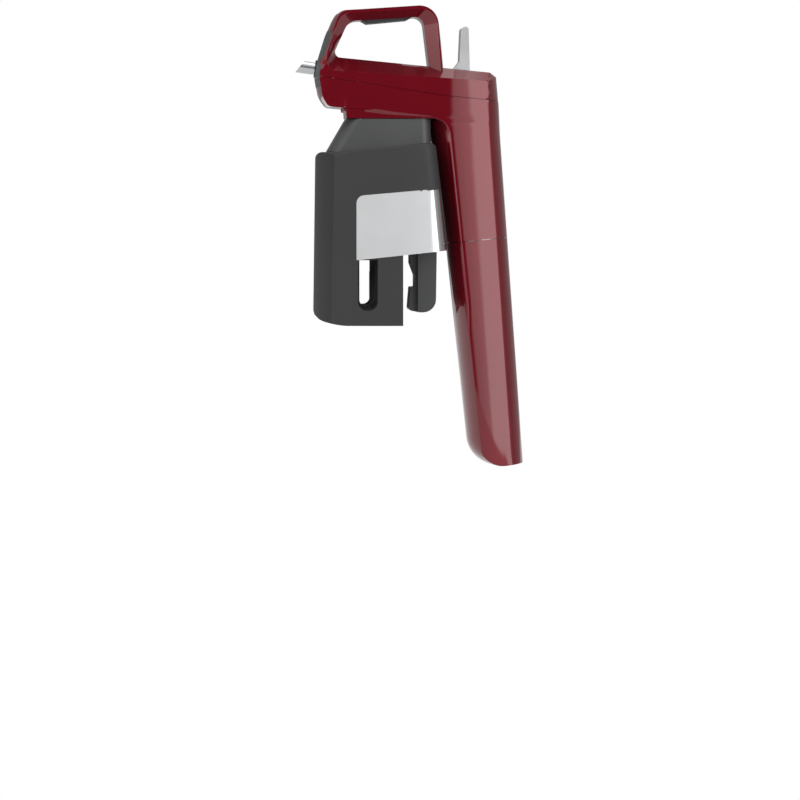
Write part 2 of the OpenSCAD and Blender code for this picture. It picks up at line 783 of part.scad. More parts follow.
module wing_shell_right() { color(dark) wing_shell(); }
module wing_plate_right() { color(chrome) wing_plate(); }
module grip_pads_right() { color(black) grip_pads(); }
module wing_shell_left() { color(dark) mirror([1, 0, 0]) wing_shell(); }
module wing_plate_left() { color(chrome) mirror([1, 0, 0]) wing_plate(); }
module grip_pads_left() { color(black) mirror([1, 0, 0]) grip_pads(); }

// ---------------------------------------------------------------- head shells

module upper_shell() {
  color(red) difference() {
    union() {
      intersection() {
        head_form();
        above_parting(0.1);
      }
      difference() {
        union() {
          nose_cheeks();
          loop_slab();
        }
        below_parting(-0.1);
      }
    }
    window_cut();
    intersection() {
      head_room();
      above_parting(-1);
    }
    trim_space(fit);
    spout_frame() translate([0, 0, -40]) cylinder(r = spout_r + 1.9, h = 60);
    // slot for the trigger
    box(-trigger_w / 2 - 0.6, trigger_w / 2 + 0.6, trigger_y - 11.5, trigger_y + 1.9, part_z1 - 4, far);
    box(-cheek_x - cheek_t - 0.3, cheek_x + cheek_t + 0.3, trigger_y - 5, valve_back + 0.3,
      part_z1 - 8, pivot_tz + 5.4);
    handle_pad_space(fit);
    screw_holes(1.25);
  }
}

module lower_shell() {
  color(red) difference() {
    union() {
      difference() {
        intersection() {
          head_form();
          below_parting(0);
        }
        intersection() {
          head_room();
          below_parting(-1);
        }
      }
      // bosses: one holds the rail, two take the screws of the upper shell
      box(-rail_w / 2 - 1.5, rail_w / 2 + 1.5, rail_y - 4, rail_y - fit, foot_z + 1, foot_z + 12.4);
      left_and_right() translate([half_w - 5, -13, belly(-13) + 0.6])
        cylinder(r = 2.9, h = part_line(-13) - belly(-13) - 1.4);
    }
    grip_frame() translate([0, 0, -20]) cylinder(r = reg_r + fit, h = reg_len + 20);
    grip_frame() translate([0, 0, reg_len - 14])
      cylinder(r = reg_r - 1, h = (foot_z + 3 - joint_z) / cos(grip_lean) - reg_len + 14);
    translate([0, 0, foot_z - 5]) cylinder(r = 5.2, h = 12);
    box(-rail_w / 2 - rail_play, rail_w / 2 + rail_play, rail_y - fit, rail_back + 0.4,
      foot_z - 2, foot_z + 14);
    trim_space(fit);
    spout_frame() translate([0, 0, -30]) cylinder(r = spout_r + 1.9, h = 60);
    rail_screw_places() translate([0, 0, -3]) cylinder(r = 1.3, h = 20);
    screw_holes(1.45);
  }
}

module screw_holes(r) {
  left_and_right() translate([half_w - 5, -13, belly(-13) - 2]) {
    cylinder(r = r, h = 22);
    cylinder(r = 2.3, h = 3.6);
  }
}

module shell_screws() {
  color(steel) left_and_right() translate([half_w - 5, -13, belly(-13)]) {
    translate([0, 0, 0.4]) cylinder(r = 1.2, h = 14.4);
    translate([0, 0, 0.2]) cylinder(r = 2.2, h = 1.3);
  }
}

module nose_trim() {
  color(grey) difference() {
    intersection() {
      nose_form();
      trim_space(0);
    }
    window_cut();
    spout_frame() translate([0, 0, -20]) cylinder(r = spout_r + 1.2, h = 40);
  }
}

module handle_pad_space(g) {
  z = window_pts[3].y;
  y0 = window_pts[3].x + 6;
  y1 = window_pts[2].x - 5;
  rise = (window_pts[2].y - z) / (window_pts[2].x - window_pts[3].x);
  z0 = z + rise * 6;
  z1 = z0 + rise * (y1 - y0);
  across(loop_in_x - 0.8 + g) polygon([
    [y0 + 2.4, z0 - pad_bar_t + 0.5], [y1 - 2.4, z1 - pad_bar_t + 0.5],
    [y1 + g, z1], [y1 + g, z1 + 0.9 + g], [y0 - g, z0 + 0.9 + g], [y0 - g, z0]]);
}

module handle_pad() {
  color(black) handle_pad_space(0);
}

// ---------------------------------------------------------------- wine path

module spout() {
  cut = 32;
  reach = spout_y - nose_y - spout_r * tan(cut);
  color(chrome) spout_frame() difference() {
    union() {
      translate([0, 0, -16]) cylinder(r = stub_r, h = 17);
      translate([0, 0, 0.3]) cylinder(r = spout_r, h = 16);
    }
    translate([0, 0, -20]) cylinder(r = spout_r - 0.8, h = 60);
    translate([0, 0, reach]) rotate([-cut, 0, 0]) box(-9, 9, -20, 20, 0, 30);
  }
}

module spout_seal() {
  color(black) spout_frame() ring(spout_r + 1.15, stub_r + 0.02, -trim_t - 0.5, -0.2);
}

module manifold() {
  color(brass) difference() {
    union() {
      box(-half_w + 5, half_w - 5, -8, 9, foot_z + 9.4, foot_z + 18);
      box(tube_x - 3, half_w - 5, 1, 9, tube_z - 2.4, foot_z + 10);
      spout_frame() translate([0, 0, -24]) cylinder(r = spout_r + 1.4, h = 16);
    }
    spout_frame() translate([0, 0, -16.05]) cylinder(r = stub_r + 0.02, h = 30);
    spout_frame() translate([0, 0, -22]) cylinder(r = spout_r - 1, h = 22);
    translate([0, 0, foot_z + 5]) cylinder(r = 3.5 + 0.02, h = 9);
    translate([0, 0, foot_z + 5]) cylinder(r = 1, h = 14);
    translate([tube_x, 4, tube_z]) rotate([-90, 0, 0]) cylinder(r = 1.5 + 0.02, h = 10);
  }
}

module needle_hub() {
  color(chrome) difference() {
    union() {
      translate([0, 0, foot_z + 1.4]) cylinder(r = 4.7, h = 7.6, $fn = 6);
      translate([0, 0, foot_z + 8]) cylinder(r = 3.5, h = 5.6);
    }
    translate([0, 0, foot_z]) cylinder(r = needle_r + 0.01, h = 10.6);
    translate([0, 0, foot_z + 10.6]) cylinder(r = 1, h = 10);
  }
}

// A hollow steel needle with a closed, slanted tip and a side port
module needle() {
  top = foot_z + 10.4;
  tip = 4;
  color(steel) difference() {
    union() {
      translate([0, 0, tip_z + tip]) cylinder(r = needle_r, h = top - tip_z - tip);
      translate([0, 0, tip_z]) cylinder(r1 = 0.08, r2 = needle_r, h = tip, $fn = 24);
    }
    translate([0, 0, tip_z + tip + 1]) cylinder(r = needle_r - 0.25, h = far);
    translate([0, 0, tip_z + tip + 1.6]) rotate([90, 0, 0]) cylinder(r = 0.3, h = 5);
  }
}

module hub_seal() {
  color(black) translate([0, 0, foot_z + 9.02]) ring(5.4, 3.52, 0, 0.36);
}

// ---------------------------------------------------------------- guide rail

module guide_rail() {
  color(steel) difference() {
    box(-rail_w / 2, rail_w / 2, rail_y, rail_back, rail_foot, foot_z + 12.4);
    // the stop pin runs in this slot
    hull() {
      translate([0, rail_y - 1, stop_z]) rotate([-90, 0, 0]) cylinder(r = stop_r + 0.25, h = 9, $fn = 32);
      translate([0, rail_y - 1, stop_z - travel]) rotate([-90, 0, 0])
        cylinder(r = stop_r + 0.25, h = 9, $fn = 32);
    }
    rail_screw_places() translate([0, 0, -3]) cylinder(r = 1.22, h = 20);
  }
}

module rail_screw_places() {
  for (z = [4.8, 9.7])
    translate([0, rail_y - 4, foot_z + z]) rotate([-90, 0, 0]) children();
}

module rail_screws() {
  color(steel) rail_screw_places() {
    translate([0, 0, -0.05]) cylinder(r = 1.2, h = 7.4);
    translate([0, 0, -1.6]) cylinder(r = 2.2, h = 1.58);
  }
}

// ---------------------------------------------------------------- trigger and valve

module gas_tube() {
  color(steel) translate([tube_x, 4.1, tube_z]) rotate([-90, 0, 0])
    cylinder(r = 1.5, h = stem_y - 8.5);
}

module valve_body() {
  x1 = cheek_x + cheek_t;
  top = valve_ceiling + 1;
  color(grey) difference() {
    union() {
      box(-x1, x1 + 2.2, stem_y - 5.5, trigger_y - 3.2, valve_z0, top);
      translate([0, stem_y, top - 1]) cylinder(r = 4, h = 1.6);
      // cheeks that carry the trigger's pin
      for (s = [-1, 1])
        box(s * (x1 - cheek_t / 2) - cheek_t / 2, s * (x1 - cheek_t / 2) + cheek_t / 2,
          trigger_y - 4, valve_back, valve_z0, pivot_tz + 2.6);
      box(-x1 + 1, x1 - 1, trigger_y - 4, valve_back, valve_z0, valve_z0 + 5);
    }
    translate([0, stem_y, valve_floor]) cylinder(r = stem_r + fit, h = 40);
    translate([0, stem_y, valve_floor]) cylinder(r = 3.1, h = valve_ceiling - valve_floor);
    translate([-30, trigger_y, pivot_tz]) rotate([0, 90, 0]) cylinder(r = trigger_pin_r + eps, h = 60);
    translate([tube_x, 0, tube_z]) rotate([-90, 0, 0]) cylinder(r = 1.52, h = stem_y - 4.3);
    translate([0, trigger_y, foot_z]) cylinder(r = 2.02, h = 6.2);
  }
}

module valve_stem() {
  color(steel) translate([0, stem_y, 0]) {
    translate([0, 0, valve_floor + 1.8]) cylinder(r = stem_r, h = stem_top - valve_floor - 1.8);
    translate([0, 0, valve_ceiling - 1.1]) cylinder(r = 2.6, h = 0.8);
    translate([0, 0, stem_top - 1.1]) cylinder(r = 2.4, h = 1.1);
  }
}

module valve_seal() {
  color(black) translate([0, stem_y, 0])
    ring(2.5, stem_r + 0.01, valve_ceiling - 2.1, valve_ceiling - 1.12);
}

module valve_spring() {
  color(steel) translate([0, stem_y, 0]) coil(2.45, 0.25, valve_floor + 0.05, valve_ceiling - 2.2, 3);
}

module supply_tube() {
  z0 = joint_z + reg_len * cos(grip_lean) + 1.4;
  color(steel) translate([0, trigger_y, z0]) cylinder(r = 2, h = foot_z + 6 - z0);
}

module trigger_pin() {
  w = cheek_x + cheek_t - 0.1;
  color(steel) translate([-w, trigger_y, pivot_tz]) rotate([0, 90, 0]) cylinder(r = trigger_pin_r, h = 2 * w);
}

// A flat steel blade; its arm bears on the valve's stem
module trigger() {
  y = trigger_y;
  z = pivot_tz;
  t = trigger_t;
  color(chrome) difference() {
    union() {
      across(trigger_w / 2) polygon(rounded([
        [y - 10.2, stem_top + 1.6], [y - 9.2, stem_top + 0.3], [y - 5.2, stem_top + 0.15],
        [y - 2.9, z + 1.2], [y + 2.9, z - 1], [y + 2.4, z + 3.4], [y + 0.8, z + 9],
        [y + 0.2, z + trigger_h], [y + 0.2 - t, z + trigger_h - 1.8],
        [y - 4.1, z + 13.1], [y - 6.6, z + 9.9]],
        [0.5, 0.5, 0, 1, 1, 0, 0, 1.5, 1.2, 0, 0.6], 4));
      translate([-trigger_w / 2, y, z]) rotate([0, 90, 0]) cylinder(r = trigger_pin_r + 1.6, h = trigger_w);
    }
    translate([-20, y, z]) rotate([0, 90, 0]) cylinder(r = trigger_pin_r + fit, h = 40);
  }
}

// ---------------------------------------------------------------- regulator and capsule

module regulator_body() {
  color(steel) grip_frame() difference() {
    translate([0, 0, -boss_len]) cylinder(r = reg_r, h = boss_len + reg_len - 8);
    translate([0, 0, -boss_len - 1]) cylinder(r = cap_neck_r + 0.3, h = boss_len + 0.2);
    translate([0, 0, -2]) cylinder(r = 1.22, h = 12);
    translate([0, 0, 10]) cylinder(r = piston_r + fit, h = 60);
    translate([0, 0, -boss_len - 1]) cylinder(r1 = cap_neck_r + 3, r2 = cap_neck_r + 0.3, h = 3.2, $fn = 48);
    // groove of the cup's seal
    ring(reg_r + 1, reg_r - 1, -seal_z - 1.01, -seal_z + 0.01);
  }
}

module regulator_cap() {
  color(steel) grip_frame() difference() {
    union() {
      translate([0, 0, reg_len - 14]) cylinder(r = piston_r - fit, h = 6.1);
      translate([0, 0, reg_len - 7.95]) cylinder(r = reg_r - 1.6, h = 5);
    }
    translate([0, 0, reg_len - 20]) cylinder(r = 2.2, h = 30);
  }
}

module regulator_piston() {
  color(brass) grip_frame() difference() {
    union() {
      translate([0, 0, 12]) cylinder(r = piston_r, h = 6);
      translate([0, 0, 12]) cylinder(r = 3.4, h = 11);
    }
    translate([0, 0, 9]) cylinder(r = 1.2, h = 30);
  }
}

module regulator_spring() {
  color(steel) grip_frame() coil(5.6, 0.8, 18.1, reg_len - 14.1, 4);
}

module piercing_pin() {
  color(steel) grip_frame() difference() {
    union() {
      cylinder(r = 1.2, h = 9);
      translate([0, 0, -3.9]) cylinder(r1 = 0.15, r2 = 1.2, h = 3.9, $fn = 24);
    }
    translate([0, 0, -1.4]) cylinder(r = 0.4, h = 20);
  }
}

module capsule_seal() {
  color(black) grip_frame() ring(cap_neck_r + 0.2, 1.6, -2.4, -0.85);
}

module cup_seal() {
  color(black) grip_frame() ring(boss_r, boss_r - 1 + eps, -seal_z - 1, -seal_z);
}

// Half outline of the capsule, drawn in by d
function capsule_half(top, d) =
  let (r = cap_r - d, n = cap_neck_r - d, foot = top - cap_len + d)
  concat(
    arc3([r - 2.6 + d, foot], [r - 0.76, foot + 0.76], [r, foot + 2.6 - d], 5),
    arc3([r, top - 24], [r - 1.6, top - 17.4 - d / 2], [n + 1.6, top - 10.6 - d], 6));

// A deep-drawn steel capsule, its mouth pierced
module capsule() {
  top = -3;
  n = cap_neck_r;
  wall = 1.5;
  color(steel) grip_frame() rotate_extrude($fn = 96) difference() {
    polygon(concat([[0, top - cap_len]], capsule_half(top, 0),
      [[n + 0.1, top - neck_len], [n, top], [0, top]]));
    polygon(concat([[-1, top - cap_len + wall]], capsule_half(top, wall),
      [[1.7, top - neck_len - 3], [1.7, top + 1], [-1, top + 1]]));
  }
}

module capsule_cup() {
  h = grip_depth / 2;
  k = taper_slope * cup_len;
  color(red) grip_frame() difference() {
    intersection() {
      loft([grip_ring(-cup_len - 2, 0), grip_ring(-0.1, 0)]);
      across(far) polygon(rounded([
        [-h - 0.2, 1], [-h + k + 0.2, -cup_len], [h - k - 0.2, -cup_len], [h + 0.2, 1]],
        [0, cup_corner, 2, 0], 10));
    }
    translate([0, 0, -cup_floor - 2.6]) cylinder(r = bore_r, h = cup_floor + 4);
    translate([0, 0, -boss_len - 1]) cylinder(r = boss_r + 0.2, h = boss_len + 4);
  }
}

module cup_pad() {
  color(black) grip_frame() translate([0, 0, -cap_len - 4.15]) cylinder(r = bore_r - 0.3, h = 0.9);
}

// ---------------------------------------------------------------- the whole part

clamp_housing();
needle_guide();
lip_pad();
wing_pivot_pins();
wing_springs();
guide_stop_pin();
wing_shell_right();
wing_plate_right();
grip_pads_right();
wing_shell_left();
wing_plate_left();
grip_pads_left();
upper_shell();
lower_shell();
nose_trim();
handle_pad();
spout();
spout_seal();
manifold();
needle_hub();
needle();
hub_seal();
guide_rail();
rail_screws();
gas_tube();
valve_body();
supply_tube();
trigger_pin();
shell_screws();
regulator_body();
regulator_cap();
piercing_pin();
capsule_seal();
cup_seal();
trigger();
valve_stem();
valve_seal();
valve_spring();
regulator_piston();
regulator_spring();
capsule();
capsule_cup();
cup_pad();
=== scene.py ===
import bpy
import bmesh
import math
import numpy as np
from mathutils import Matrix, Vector


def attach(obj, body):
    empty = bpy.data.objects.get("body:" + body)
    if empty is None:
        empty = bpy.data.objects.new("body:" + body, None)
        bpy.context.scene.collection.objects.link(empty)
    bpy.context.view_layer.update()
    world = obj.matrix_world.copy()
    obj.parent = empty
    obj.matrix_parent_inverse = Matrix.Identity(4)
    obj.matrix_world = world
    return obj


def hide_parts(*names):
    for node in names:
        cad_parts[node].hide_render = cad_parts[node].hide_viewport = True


# Wine preservation dispenser. Shapes are written in millimetres: X across, -Y to the spout, Z up,
# with the origin on the needle's axis at the middle of the neck clamp.

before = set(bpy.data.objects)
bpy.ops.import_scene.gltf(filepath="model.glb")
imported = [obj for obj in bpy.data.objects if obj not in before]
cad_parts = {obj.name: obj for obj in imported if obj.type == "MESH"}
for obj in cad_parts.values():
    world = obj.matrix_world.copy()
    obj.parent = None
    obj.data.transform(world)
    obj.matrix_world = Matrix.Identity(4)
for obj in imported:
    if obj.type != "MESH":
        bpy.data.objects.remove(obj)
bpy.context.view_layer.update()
scene = bpy.context.scene
scene.view_settings.view_transform = "Standard"
mm = 0.001
weldGap = 0.012        # points closer than this become one
sharpAngle = 32        # edges sharper than this many degrees get their bevel


# curves and surfaces

def ease(start, end, x):
    # 0 before start, 1 after end, and 3k^2 - 2k^3 of the way k between them
    k = np.clip((np.asarray(x, float) - start) / (end - start), 0, 1)
    return k * k * (3 - 2 * k)


def mix(a, b, k):
    return a + (b - a) * k


def roundedPath(corners, radii, arcSteps, runSteps):
    # straight runs between the corners, each inner corner replaced by a tangent arc of its radius
    c = np.asarray(corners, float)
    u = np.diff(c, axis=0)
    u = u / np.linalg.norm(u, axis=1)[:, None]
    starts, ends, arcs = [c[0]], [], []
    for i, r in enumerate(radii):
        a, b = u[i], u[i + 1]
        turn = math.atan2(a[0] * b[1] - a[1] * b[0], a @ b)
        begin = c[i + 1] - a * r * math.tan(abs(turn) / 2)
        t = np.linspace(0, turn, arcSteps[i] + 1)[:, None]
        side = np.array([-a[1], a[0]])
        arc = begin + r * np.sign(turn) * (np.sin(t) * a + (1 - np.cos(t)) * side)
        ends.append(begin)
        starts.append(arc[-1])
        arcs.append(arc[:-1])
    ends.append(c[-1])
    parts = []
    for i, n in enumerate(runSteps):
        parts.append(np.linspace(starts[i], ends[i], n, endpoint=False))
        if i < len(arcs):
            parts.append(arcs[i])
    return np.vstack(parts + [c[-1:]])


def between(a, b, steps):
    # ruled sheet: rows follow the two edge lines a and b, columns run straight from a to b
    k = np.linspace(0, 1, steps + 1)[None, :, None]
    return a[:, None, :] * (1 - k) + b[:, None, :] * k


def stack(x, y, z):
    return np.stack(np.broadcast_arrays(np.asarray(x, float), np.asarray(y, float), np.asarray(z, float)), -1)


def sheetFaces(rows, cols, first):
    i = np.arange(rows - 1)[:, None] * cols + np.arange(cols - 1)[None, :] + first
    return np.stack([i, i + 1, i + cols + 1, i + cols], -1).reshape(-1, 4)


def makeMesh(name, sheets, mirrored):
    # joins the sheets (rows x columns x 3), adds their mirror image in X, and welds the seams
    points, faces, first = [], [], 0
    for s in sheets:
        rows, cols = s.shape[:2]
        points.append(s.reshape(-1, 3))
        faces.append(sheetFaces(rows, cols, first))
        first += rows * cols
    points, faces = np.vstack(points), np.vstack(faces)
    if mirrored:
        faces = np.vstack([faces, faces[:, ::-1] + len(points)])
        points = np.vstack([points, points * [-1, 1, 1]])
    mesh = bpy.data.meshes.new(name)
    mesh.from_pydata((points * mm).tolist(), [], faces.tolist())
    work = bmesh.new()
    work.from_mesh(mesh)
    bmesh.ops.remove_doubles(work, verts=work.verts, dist=weldGap * mm)
    bmesh.ops.dissolve_degenerate(work, dist=weldGap / 3 * mm, edges=work.edges)
    bmesh.ops.recalc_face_normals(work, faces=work.faces)
    work.to_mesh(mesh)
    work.free()
    mesh.polygons.foreach_set("use_smooth", np.ones(len(mesh.polygons), bool))
    return mesh


def bake(obj):
    # applies the modifiers that are on the piece
    graph = bpy.context.evaluated_depsgraph_get()
    done = bpy.data.meshes.new_from_object(obj.evaluated_get(graph))
    obj.modifiers.clear()
    obj.data = done


def cut(obj, name, sheets):
    # takes a closed form out of the piece
    tool = bpy.data.objects.new(name, makeMesh(name, sheets, False))
    scene.collection.objects.link(tool)
    step = obj.modifiers.new("cut", "BOOLEAN")
    step.object = tool
    step.solver = "EXACT"
    bake(obj)
    bpy.data.objects.remove(tool)


def piece(name, sheets, body, material, edge, stands=(), mirrored=True, wall=0, cuts=()):
    # sheets made solid, cut and bevelled, on its body and in place of the nodes that it stands for
    obj = bpy.data.objects.new(name, makeMesh(name, sheets, mirrored))
    scene.collection.objects.link(obj)
    if wall:
        step = obj.modifiers.new("wall", "SOLIDIFY")
        step.thickness = wall * mm
        step.offset = -1
        bake(obj)
    for i, form in enumerate(cuts):
        cut(obj, name + "_cut" + str(i), form)
    step = obj.modifiers.new("edges", "BEVEL")
    step.width = edge * mm
    step.segments = 3
    step.limit_method = "ANGLE"
    step.angle_limit = math.radians(sharpAngle)
    step.harden_normals = False
    step.use_clamp_overlap = True
    step = obj.modifiers.new("faces", "WEIGHTED_NORMAL")
    step.keep_sharp = True
    obj.data.materials.clear()
    obj.data.materials.append(material)
    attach(obj, body)
    if stands:
        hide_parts(*stands)
    print("made", name)
    return obj


def slab(outline, x0, x1):
    # closed block: an outline in (y, z), carried straight from x0 to x1
    outline = np.asarray(outline, float)
    ring = np.vstack([outline, outline[:1]])
    middle = np.broadcast_to(outline.mean(0), ring.shape)
    return [between(stack(x0, ring[:, 0], ring[:, 1]), stack(x1, ring[:, 0], ring[:, 1]), 1),
            between(stack(x0, middle[:, 0], middle[:, 1]), stack(x0, ring[:, 0], ring[:, 1]), 1),
            between(stack(x1, middle[:, 0], middle[:, 1]), stack(x1, ring[:, 0], ring[:, 1]), 1)]


def turned(profile, place, along, steps):
    # profile of (radius, distance) carried round the axis along through place:
    # (r cos a, r sin a, d) with a from 0 to a full turn, and then turned from Z to the axis
    a = np.linspace(0, 2 * math.pi, steps + 1)[None, :]
    r, d = np.asarray(profile, float).T[:, :, None]
    local = stack(r * np.cos(a), r * np.sin(a), d + 0 * a)
    turn = np.array(Vector(along).to_track_quat("Z", "Y").to_matrix())
    return local @ turn.T + np.asarray(place, float)


print("helpers ready")


# materials

def newMaterial(name):
    m = bpy.data.materials.new(name)
    m.use_nodes = True
    tree = m.node_tree
    return m, tree, tree.nodes["Principled BSDF"]


def noiseGroup():
    # a fine noise for the height of the grain, and a coarse one for clouds in the colour and the gloss
    g = bpy.data.node_groups.new("grain", "ShaderNodeTree")
    g.interface.new_socket("Vector", in_out="INPUT", socket_type="NodeSocketVector")
    for name, value in (("Fine", 2000.0), ("Coarse", 60.0)):
        s = g.interface.new_socket(name, in_out="INPUT", socket_type="NodeSocketFloat")
        s.default_value = value
    g.interface.new_socket("Height", in_out="OUTPUT", socket_type="NodeSocketFloat")
    g.interface.new_socket("Cloud", in_out="OUTPUT", socket_type="NodeSocketFloat")
    start = g.nodes.new("NodeGroupInput")
    end = g.nodes.new("NodeGroupOutput")
    fine = g.nodes.new("ShaderNodeTexNoise")
    coarse = g.nodes.new("ShaderNodeTexNoise")
    fine.inputs["Detail"].default_value = 3
    coarse.inputs["Detail"].default_value = 4
    for node, name in ((fine, "Fine"), (coarse, "Coarse")):
        g.links.new(start.outputs["Vector"], node.inputs["Vector"])
        g.links.new(start.outputs[name], node.inputs["Scale"])
    g.links.new(fine.outputs["Fac"], end.inputs["Height"])
    g.links.new(coarse.outputs["Fac"], end.inputs["Cloud"])
    return g


grain = noiseGroup()
grainLook = {"depth": 0.0001, "cloud": (0.3, 0.7)}     # height of the bump in m, and where the clouds turn


def addGrain(tree, shader, fine, coarse, bump, low, high, rough):
    # grain in the normal, cloudiness in the colour from low to high and in the roughness pair
    where = tree.nodes.new("ShaderNodeTexCoord")
    g = tree.nodes.new("ShaderNodeGroup")
    g.node_tree = grain
    g.inputs["Fine"].default_value = fine
    g.inputs["Coarse"].default_value = coarse
    tree.links.new(where.outputs["Object"], g.inputs["Vector"])
    if bump:
        b = tree.nodes.new("ShaderNodeBump")
        b.inputs["Strength"].default_value = bump
        b.inputs["Distance"].default_value = grainLook["depth"]
        tree.links.new(g.outputs["Height"], b.inputs["Height"])
        tree.links.new(b.outputs["Normal"], shader.inputs["Normal"])
    ramp = tree.nodes.new("ShaderNodeValToRGB")
    for stop, position, colour in zip(ramp.color_ramp.elements, grainLook["cloud"], (low, high)):
        stop.position = position
        stop.color = (*colour, 1)
    tree.links.new(g.outputs["Cloud"], ramp.inputs["Fac"])
    tree.links.new(ramp.outputs["Color"], shader.inputs["Base Color"])
    span = tree.nodes.new("ShaderNodeMapRange")
    span.inputs["To Min"].default_value = rough[0]
    span.inputs["To Max"].default_value = rough[1]
    tree.links.new(g.outputs["Cloud"], span.inputs["Value"])
    tree.links.new(span.outputs["Result"], shader.inputs["Roughness"])
    return where


paint = {
    "metallic": 0.45, "grain": (900, 35), "rough": (0.34, 0.4),
    "coatRough": 0.025, "coatIor": 1.5,
    "flakeScale": 5200, "flakeTone": (0.55, 1.5), "flake": 0.3,
}


def paintMaterial(name, low, high):
    # metallic lacquer: fine flakes under a hard clear coat
    m, tree, shader = newMaterial(name)
    shader.inputs["Metallic"].default_value = paint["metallic"]
    shader.inputs["Specular IOR Level"].default_value = 0.0
    shader.inputs["Coat Weight"].default_value = 1.0
    shader.inputs["Coat Roughness"].default_value = paint["coatRough"]
    shader.inputs["Coat IOR"].default_value = paint["coatIor"]
    where = addGrain(tree, shader, *paint["grain"], 0, low, high, paint["rough"])
    cells = tree.nodes.new("ShaderNodeTexVoronoi")
    cells.inputs["Scale"].default_value = paint["flakeScale"]
    tree.links.new(where.outputs["Object"], cells.inputs["Vector"])
    lift = tree.nodes.new("ShaderNodeMix")
    lift.data_type = "RGBA"
    lift.blend_type = "MULTIPLY"
    lift.inputs["Factor"].default_value = paint["flake"]
    ramp = [n for n in tree.nodes if n.type == "VALTORGB"][0]
    tone = tree.nodes.new("ShaderNodeMapRange")
    tone.inputs["To Min"].default_value, tone.inputs["To Max"].default_value = paint["flakeTone"]
    tree.links.new(cells.outputs["Color"], tone.inputs["Value"])
    tree.links.new(ramp.outputs["Color"], lift.inputs["A"])
    tree.links.new(tone.outputs["Result"], lift.inputs["B"])
    tree.links.new(lift.outputs["Result"], shader.inputs["Base Color"])
    return m


plastic = {"specular": 0.45, "grain": (1500, 45)}
metal = {"grain": (900, 80)}


def plasticMaterial(name, low, high, rough, bump):
    # fine moulded grain, a little cloudy in its gloss
    m, tree, shader = newMaterial(name)
    shader.inputs["Specular IOR Level"].default_value = plastic["specular"]
    addGrain(tree, shader, *plastic["grain"], bump, low, high, rough)
    return m


def metalMaterial(name, low, high, rough):
    # smooth metal, a little cloudy in its gloss
    m, tree, shader = newMaterial(name)
    shader.inputs["Metallic"].default_value = 1.0
    addGrain(tree, shader, *metal["grain"], 0, low, high, rough)
    return m


plateCorner = {"start": 30.5, "end": 32.5, "smooth": 0.12}    # the plates are polished where they turn in


def polishEnd(m, start, end, smooth):
    # roughness falls to smooth between two places along Y
    tree = m.node_tree
    where = [n for n in tree.nodes if n.type == "TEX_COORD"][0]
    rough = [n for n in tree.nodes if n.type == "MAP_RANGE"][0]
    split = tree.nodes.new("ShaderNodeSeparateXYZ")
    tree.links.new(where.outputs["Object"], split.inputs["Vector"])
    share = tree.nodes.new("ShaderNodeMapRange")
    share.inputs["From Min"].default_value = start * mm
    share.inputs["From Max"].default_value = end * mm
    tree.links.new(split.outputs["Y"], share.inputs["Value"])
    blend = tree.nodes.new("ShaderNodeMix")
    blend.inputs["B"].default_value = smooth
    tree.links.new(share.outputs["Result"], blend.inputs["Factor"])
    tree.links.new(rough.outputs["Result"], blend.inputs["A"])
    tree.links.new(blend.outputs["Result"], tree.nodes["Principled BSDF"].inputs["Roughness"])


redPaint = paintMaterial("redPaint", (0.116, 0.0022, 0.007), (0.132, 0.003, 0.0088))
softGrey = plasticMaterial("softGrey", (0.0125, 0.0125, 0.0129), (0.0155, 0.0155, 0.0159),
                           (0.54, 0.62), 0.1)
coneGrey = plasticMaterial("coneGrey", (0.034, 0.035, 0.035), (0.04, 0.041, 0.041), (0.38, 0.46), 0.08)
trimGrey = plasticMaterial("trimGrey", (0.044, 0.0455, 0.046), (0.052, 0.0535, 0.054), (0.5, 0.58), 0.1)
softBlack = plasticMaterial("softBlack", (0.012, 0.012, 0.013), (0.017, 0.017, 0.018), (0.6, 0.7), 0.3)
satinPlate = metalMaterial("satinPlate", (0.51, 0.515, 0.52), (0.54, 0.545, 0.55), (0.62, 0.66))
polishEnd(satinPlate, plateCorner["start"], plateCorner["end"], plateCorner["smooth"])
satinChrome = metalMaterial("satinChrome", (0.62, 0.63, 0.64), (0.68, 0.69, 0.7), (0.3, 0.36))
brightSteel = metalMaterial("brightSteel", (0.47, 0.48, 0.49), (0.53, 0.54, 0.55), (0.2, 0.26))
steel = metalMaterial("steel", (0.5, 0.51, 0.52), (0.58, 0.59, 0.6), (0.22, 0.3))
brass = metalMaterial("brass", (0.55, 0.36, 0.14), (0.62, 0.42, 0.18), (0.24, 0.32))
aluminium = metalMaterial("aluminium", (0.62, 0.63, 0.65), (0.68, 0.69, 0.71), (0.3, 0.38))
clearGuide = plasticMaterial("clearGuide", (0.55, 0.57, 0.6), (0.6, 0.62, 0.65), (0.1, 0.16), 0)
print("materials ready")


# the head's lines, shared by both shells and the trim

head = {
    "half": 15.35,        # half width of the flat sides
    "nose": -21.6,
    "partFront": 100.6, "partKink": (39.0, 91.4), "partFall": 0.087,
    "ridge": (108.28, 0.0965),     # height at the needle, fall per mm to the rear
    "ridgeHalf": 6.3,
    "loopHalf": 9.9,
    "belly": (85.6, 0.096), "collarFront": -7.0, "foot": 81.0,
    "gap": 0.09,          # half the gap of the parting line
    "narrow": (103.5, 122),        # heights between which the sides draw in to the loop
    "noseCrown": ([86, 95, 103, 118, 126, 130.5], [1.2, 1.7, 1.9, 2.5, 1.9, 0.8]),   # heights, depths
    "rearFall": (60, 86),          # heights between which the start of the sides' fall moves back
    "drawIn": (0.15, 60, 80),      # how much narrower the head is than the grip, and from which heights on
}
grip = {
    "middle": 54.4, "joint": 24.6, "lean": 5.17, "half": 15.5, "depth": 29.0, "taper": 0.01742,
    "frontCrown": 5.2, "rearCrown": 5.6, "sideFall": 3.4,
}
